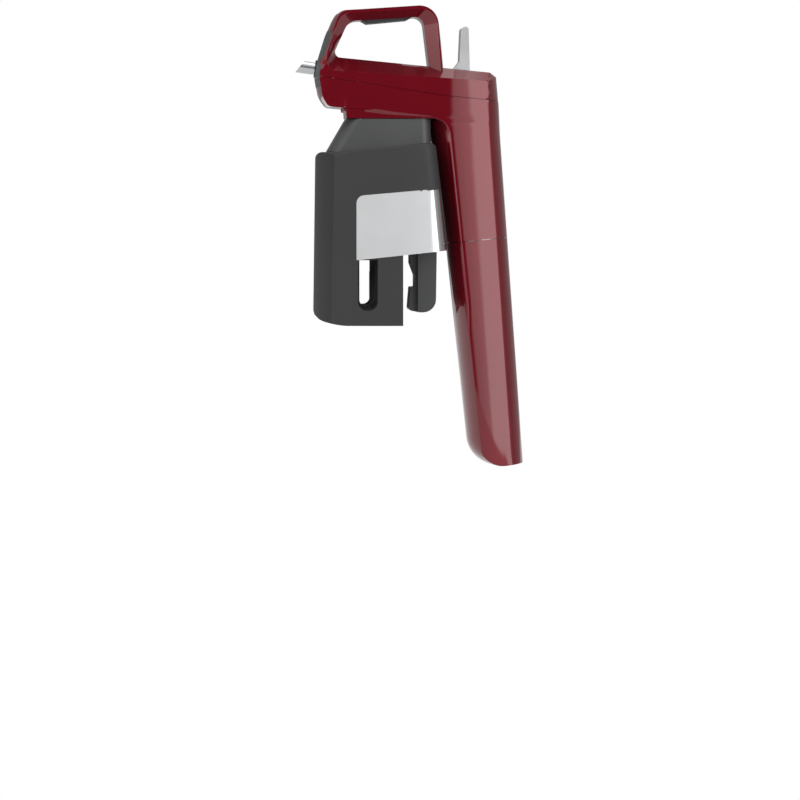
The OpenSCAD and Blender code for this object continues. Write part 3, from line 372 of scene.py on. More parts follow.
leanSin, leanCos = math.sin(math.radians(grip["lean"])), math.cos(math.radians(grip["lean"]))


def partLine(y):
    kinkY, kinkZ = head["partKink"]
    front = mix(head["partFront"], kinkZ, (y - head["nose"]) / (kinkY - head["nose"]))
    return np.where(y < kinkY, front, kinkZ - head["partFall"] * (y - kinkY))


def ridge(y):
    return head["ridge"][0] - head["ridge"][1] * y


def belly(y):
    return head["belly"][0] - head["belly"][1] * (y - head["collarFront"])


def fromGrip(y, z):
    # grip frame (y to the rear, z along the grip from its joint) to the part's frame
    return grip["middle"] + y * leanCos - z * leanSin, grip["joint"] + y * leanSin + z * leanCos


def toGrip(y, z):
    dy, dz = y - grip["middle"], z - grip["joint"]
    return dy * leanCos + dz * leanSin, -dy * leanSin + dz * leanCos


def gripEdges(z):
    # front and rear edges of the grip's sides at a height z of its frame
    h = grip["depth"] / 2 + grip["taper"] * z
    return -h + grip["frontCrown"], h - grip["rearCrown"]


def sideX(y, z):
    # the sides fall with the square of the way to the rear edge: x = half - fall k^2, where k runs from
    # the grip's front edge, and on the head from where it leaves the flat block
    gy, gz = toGrip(y, z)
    front, rear = gripEdges(gz)
    start = mix(front, toGrip(head["partKink"][0], z)[0], ease(*head["rearFall"], z))
    k = np.clip((gy - start) / (rear - start), 0, 1.2)
    drawIn, low, high = head["drawIn"]
    return grip["half"] - grip["sideFall"] * k ** 2 - drawIn * ease(low, high, z) * (1 - np.minimum(k, 1))


def headX(y, z):
    # the head narrows from its sides to the loop's width between these two heights
    return sideX(y, z) - (head["half"] - head["loopHalf"]) * ease(*head["narrow"], z)


def noseDepth(z):
    # how far the nose stands out of its edges at the middle
    return np.interp(z, *head["noseCrown"])


def crown(edge, normal, depth, k):
    # from an edge line (x, y, z) to the middle plane: x = xe (1 - k), moved along the line's outward
    # normal (y, z) by depth (1 - (1 - k)^2)
    k = np.asarray(k, float)[None, :]
    lift = depth[:, None] * (1 - (1 - k) ** 2)
    return stack(edge[:, 0, None] * (1 - k), edge[:, 1, None] + normal[:, 0, None] * lift,
                 edge[:, 2, None] + normal[:, 1, None] * lift)


def outward(line):
    # unit normals of a (y, z) line, to its left
    t = np.gradient(line, axis=0)
    t = t / np.maximum(np.linalg.norm(t, axis=1), 1e-9)[:, None]
    return np.stack([-t[:, 1], t[:, 0]], 1)


# upper shell: bands along one line from the rear, round the nose and over the loop

upper = {
    "wall": 1.2, "edge": 0.3,
    "inner": [(59.6, 102.53), (-13.4, 109.57), (-5.8, 126.1), (28.7, 128.3), (32.0, 101.0)],
    "innerRadii": [2.6, 6.2, 4.6],
    "crease": [(58.5, 98.3), (-15.6, 103.0), (-16.4, 111.0), (-9.3, 129.5), (34.7, 132.1), (37.2, 101.0)],
    "creaseRadii": [4.6, 14.0, 5.6, 7.6],
    "outer": [(58.95, 89.75), (-19.75, 100.7), (-18.8, 105.4), (-9.9, 130.7), (35.0, 133.75), (38.0, 101.0)],
    "outerRadii": [0.25, 12.0, 5.4, 8.8],
    "trimTop": 121.6,
    "slot": (38.6, 51.9, 5.6),     # trigger's slot: front, rear, half width
    "rearEnds": (59.6, 61.0, 63.5, 64.5), "rearMiddle": 100.5,   # ridge, its end, crease, parting line
    # steps along the line: to the nose, to where the loop's front starts, to the loop's top, to its rear
    "toNose": 46, "toTrim": 60, "toTop": 84, "toLoop": 100,
    "loopCrown": ([84, 96, 118, 130], [0.9, 0.4, 0.4, 0.9]),     # steps, depths
}


def upperLines():
    # the ridge's and window's edge, the crease where the bevel ends, and the outer edge, step by step alike
    low = upper["toNose"]
    arcs, runs = [12, 8, 12, 12], [low, 4, 10, 20, 16]
    inner = roundedPath(upper["inner"], upper["innerRadii"], [12, 12, 12], [low, 22, 20, 16])
    crease = roundedPath(upper["crease"], upper["creaseRadii"], arcs, runs)
    outer = roundedPath(upper["outer"], upper["outerRadii"], arcs, runs)
    outer[:low, 1] = partLine(outer[:low, 0]) + head["gap"]
    return inner, crease, outer


def upperWidth(line):
    # half width along a line: the head's to the loop's top, then the loop's
    step = np.arange(len(line))
    return np.where(step < upper["toLoop"], headX(line[:, 0], line[:, 1]), head["loopHalf"])


inner, crease, outer = upperLines()
print("upper lines", len(inner), len(crease), len(outer))
creaseX, outerX = upperWidth(crease), upperWidth(outer)
outerOut = outward(outer)
outerStep = np.arange(len(outer))
outerCrown = np.where(outerStep < upper["toTop"], noseDepth(outer[:, 1]),
                      np.interp(outerStep, *upper["loopCrown"]))


def upperShell():
    k = np.linspace(0, 1, 7)
    middle = stack(0 * inner[:, 0], inner[:, 0], inner[:, 1])
    ridgeEdge = stack(head["ridgeHalf"], inner[:, 0], inner[:, 1])
    creaseEdge = stack(creaseX, crease[:, 0], crease[:, 1])
    rimEdge = stack(outerX, outer[:, 0], outer[:, 1])
    # the side follows its own width between the crease and the outer edge
    side = between(creaseEdge, rimEdge, 6)
    body = outerStep < upper["toTrim"]
    flat = headX(side[..., 1], side[..., 2])
    side[..., 0] = np.where(body[:, None], flat, side[..., 0])
    over = slice(np.argmax((outer[:, 1] > upper["trimTop"] - 1) & (outerStep > upper["toNose"])), None)
    front = crown(rimEdge[over], outerOut[over], outerCrown[over], k)
    # rear: from the ridge and the crease round to the middle, and down to the parting line
    u = np.linspace(0, 1, 13)
    bulge = 1 - (1 - u) ** 2
    ridgeRear, topEnd, midEnd, lowEnd = upper["rearEnds"]
    topY, lowY = mix(ridgeRear, topEnd, bulge), mix(outer[0, 0], lowEnd, bulge)
    midY, midZ = mix(crease[0, 0], midEnd, bulge), mix(crease[0, 1], upper["rearMiddle"], bulge)
    topRear = stack(head["ridgeHalf"] * (1 - u), topY, ridge(topY))
    midRear = stack(creaseX[0] * (1 - u), midY, midZ)
    lowRear = stack(outerX[0] * (1 - u), lowY, partLine(lowY) + head["gap"])
    # the trigger's slot is left open in the ridge
    y0, y1, half = upper["slot"]
    slotEdge = stack(half, inner[:, 0], inner[:, 1])
    along = inner[:upper["toNose"], 0]
    first, last = int(np.argmin(abs(along - y1))), int(np.argmin(abs(along - y0)))
    rows = [between(middle, slotEdge, 4)[:first + 1], between(middle, slotEdge, 4)[last:],
            between(slotEdge, ridgeEdge, 1), between(ridgeEdge, creaseEdge, 6), side, front,
            between(topRear, midRear, 4), between(midRear, lowRear, 4)]
    # the ridge's middle is closed between the strip's end and the rear bevel
    cap = between(stack(head["ridgeHalf"] * (1 - u), ridgeRear, ridge(ridgeRear)), topRear, 1)
    return piece("upperSkin", rows + [cap], "head", redPaint, upper["edge"], ["upper_shell"],
                 wall=upper["wall"])


upperShell()


# lower shell: side sheet between its front and underside line and its rear and parting line

lower = {
    "wall": 1.4, "edge": 0.3,
    "jointGap": 0.1,
    "fillets": [7.4, 0.4, 0.5, 2.4, 9.0],           # from the grip round the foot and the collar to the nose
    "under": 80.7,                                  # height of the crown below the first of them
    "collar": (0.2, 0.3),                           # steps forward, to its lower and its upper corner
    "collarInset": (0.32, 40, 4),                   # it stands back under the belly line, fading to the rear
    "noseLow": [(-18.3, 90.6), (-19.75, 100.5)], "noseStart": -15.7, "noseTop": -19.6,
    "rearTop": (58.95, 66.0),                       # upper end of the rear edge: Y, and height on the grip
    "rearMiddle": 70.0, "rearSwell": (0.39, 70, 90),
    # steps along the line: the straight of the grip's front, the middle and the end of its fillet, where
    # the corner is sharp, the parting line's kink, and the collar
    "toFillet": 24, "toBend": 31, "toFoot": 36, "toSharp": 40, "toKink": 43, "toCollar": 64,
    "crown": ([0, 24, 36, 64, 66, 69, 71, 77, 84, 97], [5.2, 7.1, 0, 0, 0.5, 0.5, 0, 0.3, 1.0, 1.9]),
    "soft": [0.15, 0.15, 0.02, 0.0],                # share of the width that the soft corner takes
    "sideStart": [0.085, 0.085, 0.01, 0.0],         # and of the way to the rear line
    "bellyRows": (0.12, 0.6, 0.012),                # least and most share of the way, and half their gap
    "bellySteps": (30, 68, 0.3),                    # first and last step that they have, and share elsewhere
}


def lowerLines():
    jointGap = lower["jointGap"]
    ahead, upperAhead = lower["collar"]
    footY, footZ = head["collarFront"] - ahead, head["foot"]
    front, rear = gripEdges(jointGap)
    a0 = fromGrip(front, jointGap)
    high = 60.0    # a second height on the same straight edge
    a1 = fromGrip(gripEdges(high)[0], high)
    # the front edge meets the foot's plane here
    meet = a0[0] + (a1[0] - a0[0]) * (footZ - a0[1]) / (a1[1] - a0[1])
    nose = [(lower["noseStart"], belly(lower["noseStart"])), *lower["noseLow"]]
    front = roundedPath([a0, (meet, footZ), (footY, footZ), (footY - upperAhead, belly(footY)), *nose],
                        lower["fillets"], [12, 2, 2, 5, 8], [lower["toFillet"], 28, 3, 6, 2, 5])
    front[-1, 1] = partLine(front[-1, 0]) - head["gap"]
    last = len(front) - 1
    i = np.arange(last + 1)
    # rear edge up to the parting line, then forward along it, through its kink
    turn = lower["toFoot"]
    rearLow = fromGrip(rear, jointGap)
    topY, topHigh = lower["rearTop"]
    top = fromGrip(gripEdges(topHigh)[1], topHigh)
    topZ = partLine(topY) - head["gap"]
    z = np.interp(i, [0, lower["toFillet"], turn], [rearLow[1], lower["rearMiddle"], topZ])
    share = (z - rearLow[1]) / (top[1] - rearLow[1])
    swell, swellLow, swellHigh = lower["rearSwell"]
    rearY = rearLow[0] + (top[0] - rearLow[0]) * share + swell * ease(swellLow, swellHigh, z)
    yTop = np.interp(i, [turn, lower["toKink"], lower["toCollar"], last],
                     [rearY[turn], head["partKink"][0], head["collarFront"], lower["noseTop"]])
    y = np.where(i <= turn, rearY, yTop)
    z = np.where(i <= turn, z, partLine(y) - head["gap"])
    z[turn] = partLine(rearY[turn]) - head["gap"]
    return front, np.stack([y, z], 1)


def collarInset(y):
    # how far the collar stands back, less and less to the rear
    inset, rear, front = lower["collarInset"]
    return inset * ease(rear, front, y)


def lowerShell():
    front, rear = lowerLines()
    i = np.arange(len(front))
    straight, foot, sharp = lower["toFillet"], lower["toFoot"], lower["toSharp"]
    # rows of the side from the front line (k = 0) to the rear line (k = 1), two of them at the belly line
    line = belly(front[:, 0])
    least, most, gap = lower["bellyRows"]
    kb = np.clip((line - front[:, 1]) / np.maximum(rear[:, 1] - front[:, 1], 1e-6), least, most)
    first, last, elsewhere = lower["bellySteps"]
    kb = np.where((i >= first) & (i <= last), kb, elsewhere)
    start = np.interp(i, [0, straight, foot, sharp], lower["sideStart"])
    low, high = np.linspace(0, 1, 5), np.linspace(0, 1, 12)
    k = np.concatenate([start[:, None] + (kb - gap - start)[:, None] * low,
                        (kb + gap)[:, None] + (1 - kb - gap)[:, None] * high], 1)
    y = front[:, :1] * (1 - k) + rear[:, :1] * k
    z = front[:, 1:] * (1 - k) + rear[:, 1:] * k
    # the collar stands back under the belly line, over a step this high
    step = 0.2
    under = ease(belly(y) + step, belly(y) - step, z) * (y > head["collarFront"] - 1)
    side = stack(sideX(y, z) - collarInset(y) * under, y, z)
    edgeX = sideX(front[:, 0], front[:, 1]) - collarInset(front[:, 0]) * (front[:, 1] < line - step)
    edge = stack(edgeX, front[:, 0], front[:, 1])
    normal = outward(front)
    depth = np.interp(i, *lower["crown"])
    # soft corner: from the crown through the edge to the side
    soft = np.interp(i, [0, straight, foot, sharp], lower["soft"])
    kc = soft[:, None] + (1 - soft)[:, None] * np.linspace(0, 1, 9)
    rise = 1 - (1 - kc) ** 2
    # the middle line keeps straight up to the foot, where the edge line takes its fillet
    middle = edge[:, 1:] + depth[:, None] * normal
    slope = (middle[straight, 0] - middle[0, 0]) / (middle[straight, 1] - middle[0, 1])
    end = (middle[straight, 0] + slope * (lower["under"] - middle[straight, 1]), lower["under"])
    bend = lower["toBend"]
    for a, b, q0, q1 in ((straight, bend, middle[straight], end),
                         (bend, foot + 1, end, edge[foot + 1, 1:])):
        share = ((np.arange(a, b) - a) / (b - a))[:, None]
        middle[a:b] = np.array(q0) * (1 - share) + np.array(q1) * share
    face = stack(edge[:, :1] * (1 - kc), edge[:, 1:2] * (1 - rise) + middle[:, :1] * rise,
                 edge[:, 2:] * (1 - rise) + middle[:, 1:] * rise)
    w = np.linspace(0, 1, 7)[None, :, None]
    corner = face[:, None, 0] * (1 - w) ** 2 + edge[:, None] * 2 * w * (1 - w) + side[:, None, 0] * w ** 2
    u = np.linspace(0, 1, 13)
    rising = rear[:foot + 1]
    backRows = np.stack([sideX(rising[:, 0], rising[:, 1]), rising[:, 0], rising[:, 1]], 1)
    back = crown(backRows, -outward(rising), np.full(foot + 1, grip["rearCrown"]), u)
    back[-1, :, 2] = partLine(back[-1, :, 1]) - head["gap"]
    return piece("lowerSkin", [side, corner, face, back], "head", redPaint, lower["edge"],
                 ["lower_shell"], wall=lower["wall"])


lowerShell()


# nose trim: the front between the two shells' edges

trim = {
    "wall": 2.0, "edge": 0.4, "low": 95.2,
    "step": (0.12, 0.1),           # in from the shells' sides, and out of their front
    "spout": (0, -21.6, 104.3), "spoutAxis": (0, -0.99075, 0.13571), "spoutHole": 4.15,
}


def noseTrim():
    front, _ = lowerLines()
    low = front[np.argmax((front[:, 1] > trim["low"]) & (np.arange(len(front)) > 80)):]
    ahead = (outerStep >= upper["toTrim"] - 2) & (outerStep < upper["toTop"])
    high = outer[ahead & (outer[:, 1] < upper["trimTop"])]
    line = np.vstack([low[:-1], high])
    inset, proud = trim["step"]
    normal = outward(line)
    edge = stack(headX(line[:, 0], line[:, 1]) - inset, line[:, 0] + proud * normal[:, 0],
                 line[:, 1] + proud * normal[:, 1])
    face = crown(edge, normal, noseDepth(line[:, 1]), np.linspace(0, 1, 13))
    r, reach = trim["spoutHole"], 20
    hole = turned([(0, -reach), (r, -reach), (r, reach), (0, reach)], trim["spout"], trim["spoutAxis"], 40)
    return piece("noseTrimSkin", [face], "head", trimGrey, trim["edge"], ["nose_trim"],
                 wall=trim["wall"], cuts=[[hole]])


noseTrim()


# capsule cup: rings down the grip, its foot drawn in round the front corner

cup = {
    "length": 106.2, "corner": 14.0, "top": -0.12, "wall": 1.6, "edge": 0.3,
    "bend": (-26.0, -46.0),        # here the soft front edge turns crisp
    "soft": (2.2, 0.35),           # width of that edge above and below
    "sideStart": 0.75,             # share of it that the side leaves free
    "hold": (2.0, 0.86),           # the front edge follows the corner's arc from this depth, at this rate
}


def cupShell():
    # heights close up towards both ends; then the foot's arc goes in by corner (1 - cos a)
    k = (1 - np.cos(np.linspace(0, math.pi, 40))) / 2
    straight = mix(cup["top"], -(cup["length"] - cup["corner"]), k)
    turn = np.linspace(0, math.pi / 2, 17)[1:]
    z = np.concatenate([straight, -(cup["length"] - cup["corner"]) - cup["corner"] * np.sin(turn)])
    back = np.concatenate([0 * straight, cup["corner"] * (1 - np.cos(turn))])
    h = grip["depth"] / 2 + grip["taper"] * z
    front, rear = -h + grip["frontCrown"], h - grip["rearCrown"]
    # the front edge gives way to the corner's arc
    hold, rate = cup["hold"]
    frontEdge = front + np.maximum(0, back - hold) * rate
    deep = frontEdge - (back - h)
    softness = mix(*cup["soft"], ease(*cup["bend"], z))[:, None]
    span = (rear - frontEdge)[:, None]
    # section at each height: middle of the front, crown, soft corner, side, rear edge, rear crown
    first = softness / grip["half"]
    kc = first + (1 - first) * np.linspace(0, 1, 12)

    def sideAt(y):
        # half width over the section, measured from the grip's own front edge
        kk = (y - front[:, None]) / (rear - front)[:, None]
        return grip["half"] - grip["sideFall"] * np.clip(kk, 0, 1) ** 2

    edgeX = sideAt(frontEdge[:, None])
    crownX = edgeX * (1 - kc)
    crownY = frontEdge[:, None] - deep[:, None] * (1 - (1 - kc) ** 2)
    start = softness * cup["sideStart"]
    sideY = frontEdge[:, None] + start + (span - start) * np.linspace(0, 1, 14)
    side = stack(sideAt(sideY), sideY, z[:, None])
    face = stack(crownX, crownY, z[:, None])
    edge = stack(edgeX, frontEdge[:, None], z[:, None])
    w = np.linspace(0, 1, 6)[None, :, None]
    corner = face[:, :1] * (1 - w) ** 2 + edge * 2 * w * (1 - w) + side[:, :1] * w ** 2
    u = np.linspace(0, 1, 11)
    rearX = sideAt(rear[:, None])
    backFace = stack(rearX * (1 - u), rear[:, None] + grip["rearCrown"] * (1 - (1 - u) ** 2), z[:, None])
    sheets = [face, corner, side, backFace]
    # flat foot, fanned to the middle line of the last ring
    foot = np.concatenate([face[-1, ::-1], corner[-1], side[-1], backFace[-1]])
    spine = stack(0 * foot[:, 0], foot[:, 1], foot[:, 2])
    sheets.append(between(spine, foot, 3))
    world = []
    for s in sheets:
        gy, gz = fromGrip(s[..., 1], s[..., 2])
        world.append(stack(s[..., 0], gy, gz))
    return piece("cupSkin", world, "capsule_cup", redPaint, cup["edge"], ["capsule_cup"],
                 wall=cup["wall"])


cupShell()


# clamp wings: walls rise along a plan ring, round over at the top and run in to the housing

wing = {
    "gap": 1.0, "half": 28.6, "front": -22.2, "frontRise": 0.0145,
    "edge": -14.7, "edgeRise": 0.02, "edgeDraw": 0.6,         # crisp edge, its rise, its share of the draw-in
    "back": 41.9, "lean": 0.118, "corner": 7.0,
    "top": (64.5, 0.088),          # height of the top at its front, and its rise per mm to the rear
    "level": 66.0,                 # height at which the top's rise is measured
    "fillet": ([0, 0.2, 0.45, 0.62, 0.75, 1.0, 1.12, 1.3, 3, 4],      # radius of the top edge along s
               [3.2, 2.6, 0.9, 0.9, 1.5, 2.6, 1.6, 0.8, 0.8, 2.6]),
    "lift": ([0, 0.6, 1.05], [1.0, 0.5, 0]),                          # rise of the front's top along s
    "foot": ([-22.3, -21.4, -20.0, -18.0, -13.0, -9.0],               # lower edge: Y, height
             [-8.0, -10.6, -12.1, -12.9, -14.0, -14.6]),
    "footLevel": -10.0,            # height at which that Y is measured
    "wall": 2.2, "bevel": 0.35, "inset": 0.1,
    "frontBulge": (14.5, 2.4), "edgeIn": 2.6, "rearIn": 0.6, "widest": 6.0,
    "shroudBack": 18.1, "split": 1.6,           # rear end of the lower walls; their top over the plate's foot
    "plate": (15.7, 0.103), "plateFront": -3.3, "plateHigh": 28.6,    # foot and its rise, front, height
    "recess": (21.6, 36.0), "recessEnds": (0.5, 6), "lap": 0.4, "bevelled": 2.5,
    "room": (20.7, -17.6, 8.0),                 # half width, front and corner of the hole round the housing
    "rim": (0.3, 1.05),                         # least width of the top round it, and s where that ends
    "window": (-3.0, 6.6, -7.9, 1.4), "windowTop": 16.1, "windowEnds": (20.0, 29.4),
    "windowFoot": ((2.0, 3.2), (0.0, 4.6)),     # rise and corner of the window's foot, inside and outside
    "windowHub": 4.0,                           # its ends are fanned to this height
}
middleY = (wing["window"][0] + wing["window"][1]) / 2    # middle of the window


def lagrange(y, p0, p1, p2):
    # the quadratic through three (y, x) points
    (a, xa), (b, xb), (c, xc) = p0, p1, p2
    return (xa * (y - b) * (y - c) / ((a - b) * (a - c)) + xb * (y - a) * (y - c) / ((b - a) * (b - c))
            + xc * (y - a) * (y - b) / ((c - a) * (c - b)))


def wingPlan(s, z, d):
    # plan of the right wing at height z, drawn in by d: s from 0 at the middle of the front to 1 at the
    # crisp edge, to 2 at the shroud's rear line, 3 where the rear corner starts and 4 where it ends
    s, z, d = np.broadcast_arrays(np.asarray(s, float), np.asarray(z, float), np.asarray(d, float))
    front = wing["front"] + wing["frontRise"] * z + d
    edge = wing["edge"] + wing["edgeRise"] * z + wing["edgeDraw"] * d
    back = wing["back"] - wing["lean"] * z - d
    half = wing["half"] - d
    r = wing["corner"] - d
    edgeX, rearX = half - wing["edgeIn"], half - wing["rearIn"]
    xs = wing["gap"] + (edgeX - wing["gap"]) * np.clip(s, 0, 1)
    bulgeX, bulgeY = wing["frontBulge"]
    ys = lagrange(xs, (wing["gap"], front), (bulgeX, front + bulgeY), (edgeX, edge))
    turn = back - r
    ySide = np.where(s < 2, mix(edge, wing["shroudBack"], np.clip(s - 1, 0, 1)),
                     mix(wing["shroudBack"], turn, np.clip(s - 2, 0, 1)))
    xSide = lagrange(ySide, (edge, edgeX), (wing["widest"], half), (turn, rearX))
    a = np.clip(s - 3, 0, 1) * math.pi / 2
    xBack, yBack = rearX - r + r * np.cos(a), turn + r * np.sin(a)
    x = np.where(s <= 1, xs, np.where(s <= 3, xSide, xBack))
    y = np.where(s <= 1, ys, np.where(s <= 3, ySide, yBack))
    return stack(x, y, z)


def wingTop(y):
    return wing["top"][0] + wing["top"][1] * (y - wing["front"])


wingColumns = np.concatenate([np.linspace(0, 1, 15), np.linspace(1, 2, 15)[1:], np.linspace(2, 3, 11)[1:],
                              np.linspace(3, 4, 9)[1:]])


def lengths(line):
    # distance along a line at each of its points
    return np.concatenate([[0], np.cumsum(np.linalg.norm(np.diff(line, axis=0), axis=1))])


def slotLoop(y0, y1, z0, z1, radius):
    # closed loop in (y, z) round a slot, from the middle of its upper edge, with sharp upper corners
    sharp = 0.1
    corners = [(middleY, z1), (y0, z1), (y0, z0), (y1, z0), (y1, z1), (middleY, z1)]
    return roundedPath(corners, [sharp, radius, radius, sharp], [1, 10, 10, 1], [2, 6, 1, 6, 2])


def windowRings(z1):
    # the window's slot at its inner and its outer end
    y0, y1, z0, bevel = wing["window"]
    return [slotLoop(y0 + b, y1 - b, z0 + rise, z1, r)
            for b, (rise, r) in zip((bevel, 0.0), wing["windowFoot"])]


def wingShell(name, side, body, node):
    s = wingColumns[None, :]
    inset = wing["inset"]
    plateZ, plateRise = wing["plate"]
    plateFront, plateHigh = wing["plateFront"], wing["plateHigh"]
    r = np.interp(s[0], *wing["fillet"])[None, :]
    level = wingPlan(s, wing["level"], inset)[..., 1]
    top = wingTop(level) + np.interp(s[0], *wing["lift"])[None, :]
    split = plateZ + wing["split"] + plateRise * (level - plateFront)
    k = np.linspace(0, 1, 16)[:, None]
    high = wingPlan(s, mix(split, top - r, k), inset + 0 * k)
    # rounded top edge: up by r sin a and in by r (1 - cos a)
    a = np.linspace(0, math.pi / 2, 8)[:, None]
    over = wingPlan(s, top - r + r * np.sin(a), inset + r * (1 - np.cos(a)))
    # top face, in to the room round the housing
    last = over[-1]
    roomX, roomY, roomCorner = wing["room"]
    rim, rimEnd = wing["rim"]
    path = roundedPath([(wing["gap"], roomY), (roomX, roomY), (roomX, last[-1, 1] - rim)],
                       [roomCorner], [12], [12, 24])
    length, own = lengths(path), lengths(last[:, :2])
    place = own / own[-1] * length[-1]
    ringY = np.interp(place, length, path[:, 1])
    ringY = np.where(s[0] < rimEnd, np.maximum(ringY, last[:, 1] + rim), ringY)
    ring = stack(np.interp(place, length, path[:, 0]), ringY, last[:, 2])
    topFace = between(last, ring, 6)
    # below the plate the wall ends at the shroud's rear line
    shroud = wingColumns <= 2
    lowS = wingColumns[shroud][None, :]
    foot = np.interp(wingPlan(lowS, wing["footLevel"], inset)[..., 1], *wing["foot"])
    low = wingPlan(lowS, mix(foot, split[:, shroud], k), inset + 0 * k)
    # neck window: a slot with a round foot, wider towards the outside
    slim, wide = windowRings(wing["windowTop"])
    innerX, outerX = wing["windowEnds"]
    hole = [between(stack(innerX, slim[:, 0], slim[:, 1]), stack(outerX, wide[:, 0], wide[:, 1]), 1)]
    for x, loop in ((innerX, slim), (outerX, wide)):
        centre = stack(x, 0 * loop[:, 0] + middleY, wing["windowHub"])
        hole.append(between(stack(x, loop[:, 0], loop[:, 1]), centre, 1))
    # the metal plate lies in a recess that goes on round the rear corner
    lap, bevel = wing["lap"], wing["bevelled"]
    y0, y1 = plateFront + wing["recessEnds"][0], wing["back"] + wing["recessEnds"][1]
    rise = plateRise * (y1 - y0)
    recess = slab([(y0, plateZ + lap), (y1, plateZ + lap + rise), (y1, plateZ + plateHigh + rise),
                   (y0 + bevel, plateZ + plateHigh), (y0, plateZ + plateHigh - bevel)], *wing["recess"])

    def handed(sheets):
        return [q * [side, 1, 1] for q in sheets]

    return piece(name, handed([high, over, topFace, low]), body, softGrey, wing["bevel"],
                 [node], mirrored=False, wall=wing["wall"], cuts=[handed(hole), handed(recess)])


wingShell("wingSkinRight", 1, "wing_right", "wing_shell_right")
wingShell("wingSkinLeft", -1, "wing_left", "wing_shell_left")


# inside of the wings: window frame, jaw behind the grip pads, and the hinge's knuckle

inside = {
    "frame": (17.6, 20.0, 26.8), "box": (-5.3, 9.3, -10.3, 16.4), "boxCorner": 1.0, "slotTop": 15.6,
    "jaw": (17.0, 19.5, -9.5, 9.5), "arcs": [(-79.0, -5.0), (16.6, 66.0)], "bridge": (-4.8, 16.4, -5.9),
    "knuckle": (2.7, -1.7, 12.0), "pivot": (23.0, 61.0), "web": 1.6, "webIn": 0.1, "webEnd": 27.2,
    "edge": 0.2,
}


def arcBar(r0, r1, z0, z1, a0, a1):
    # bar of a rectangular section carried round the needle's axis from a0 to a1 degrees:
    # (r cos a, r sin a, z) over the section's corners (r, z)
    a = np.radians(np.linspace(a0, a1, 25))[:, None]
    r, z = np.array([r0, r1, r1, r0, r0]), np.array([z0, z0, z1, z1, z0])
    body = stack(r * np.cos(a), r * np.sin(a), z)
    ends = [np.array([[q[0], q[1]], [q[3], q[2]]]) for q in (body[0], body[-1])]
    return [body, *ends]


def wingInside(name, side, body):
    x0, x1, x2 = inside["frame"]
    y0, y1, z0, z1 = inside["box"]
    slim, wide = windowRings(inside["slotTop"])
    share = (x2 - x1) / (wing["windowEnds"][1] - x1)
    out = slim * (1 - share) + wide * share
    box = slotLoop(y0, y1, z0, z1, inside["boxCorner"])

    def ring(x, line):
        return stack(x, line[:, 0], line[:, 1])

    sheets = [between(ring(x0, slim), ring(x1, slim), 1), between(ring(x1, slim), ring(x2, out), 2),
              between(ring(x0, box), ring(x2, box), 2), between(ring(x0, slim), ring(x0, box), 1),
              between(ring(x2, out), ring(x2, box), 1)]
    r0, r1, low, high = inside["jaw"]
    for a0, a1 in inside["arcs"]:
        sheets += arcBar(r0, r1, low, high, a0, a1)
    b0, b1, top = inside["bridge"]
    sheets += arcBar(r0, r1, low, top, b0, b1)
    r, k0, k1 = inside["knuckle"]
    px, pz = inside["pivot"]
    sheets.append(turned([(0, k0), (r, k0), (r, k1), (0, k1)], (px, 0, pz), (0, 1, 0), 32))
    t, w0, w1 = inside["web"], k0 + inside["webIn"], k1 - inside["webIn"]
    sheets += slab([(w0, pz - t), (w1, pz - t), (w1, pz + t), (w0, pz + t)], px, inside["webEnd"])
    return piece(name, [q * [side, 1, 1] for q in sheets], body, softGrey, inside["edge"],
                 mirrored=False)


wingInside("wingInsideRight", 1, "wing_right")
wingInside("wingInsideLeft", -1, "wing_left")


# the part's own solids that stay, each with its finish

dressing = {"weld": 0.005, "crease": 30}


def dress(name, material):
    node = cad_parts[name]
    node.data.materials.clear()
    node.data.materials.append(material)
    node.data.polygons.foreach_set("use_smooth", np.ones(len(node.data.polygons), bool))
    step = node.modifiers.new("weld", "WELD")
    step.merge_threshold = dressing["weld"] * mm
    step = node.modifiers.new("split", "EDGE_SPLIT")
    step.split_angle = math.radians(dressing["crease"])
    step = node.modifiers.new("faces", "WEIGHTED_NORMAL")
    step.keep_sharp = True


finishes = [
    (coneGrey, ["clamp_housing"]),
    (trimGrey, ["valve_body"]),
    (softBlack, ["handle_pad", "lip_pad", "grip_pads_right", "grip_pads_left", "spout_seal", "hub_seal",
                 "valve_seal", "capsule_seal", "cup_seal", "cup_pad"]),
    (satinPlate, ["wing_plate_right", "wing_plate_left"]),
    (brightSteel, ["spout"]),
    (satinChrome, ["trigger"]),
    (steel, ["needle", "needle_hub", "guide_rail", "rail_screws", "gas_tube", "supply_tube", "trigger_pin",
             "shell_screws", "piercing_pin", "valve_stem", "valve_spring", "regulator_spring", "capsule",
             "wing_pivot_pins", "wing_springs", "guide_stop_pin"]),
    (brass, ["manifold", "regulator_piston"]),
    (aluminium, ["regulator_body", "regulator_cap"]),
    (clearGuide, ["needle_guide"]),
]
for material, names in finishes:
    for name in names:
        dress(name, material)
print("nodes dressed")


# room, lights and camera

view = {
    # a long lens, a little above the clamp and looking down by the pitch
    "place": (1400.0, -73.0, 42.8), "turn": 86.261, "pitch": 3.81, "lens": 134.5,
}
camera = bpy.data.objects.new("camera", bpy.data.cameras.new("camera"))
scene.collection.objects.link(camera)
camera.location = Vector(view["place"]) * mm
camera.rotation_euler = (math.radians(90 - view["pitch"]), 0, math.radians(view["turn"]))
camera.data.lens = view["lens"]
camera.data.sensor_width = 36
camera.data.clip_start = 0.01
scene.camera = camera


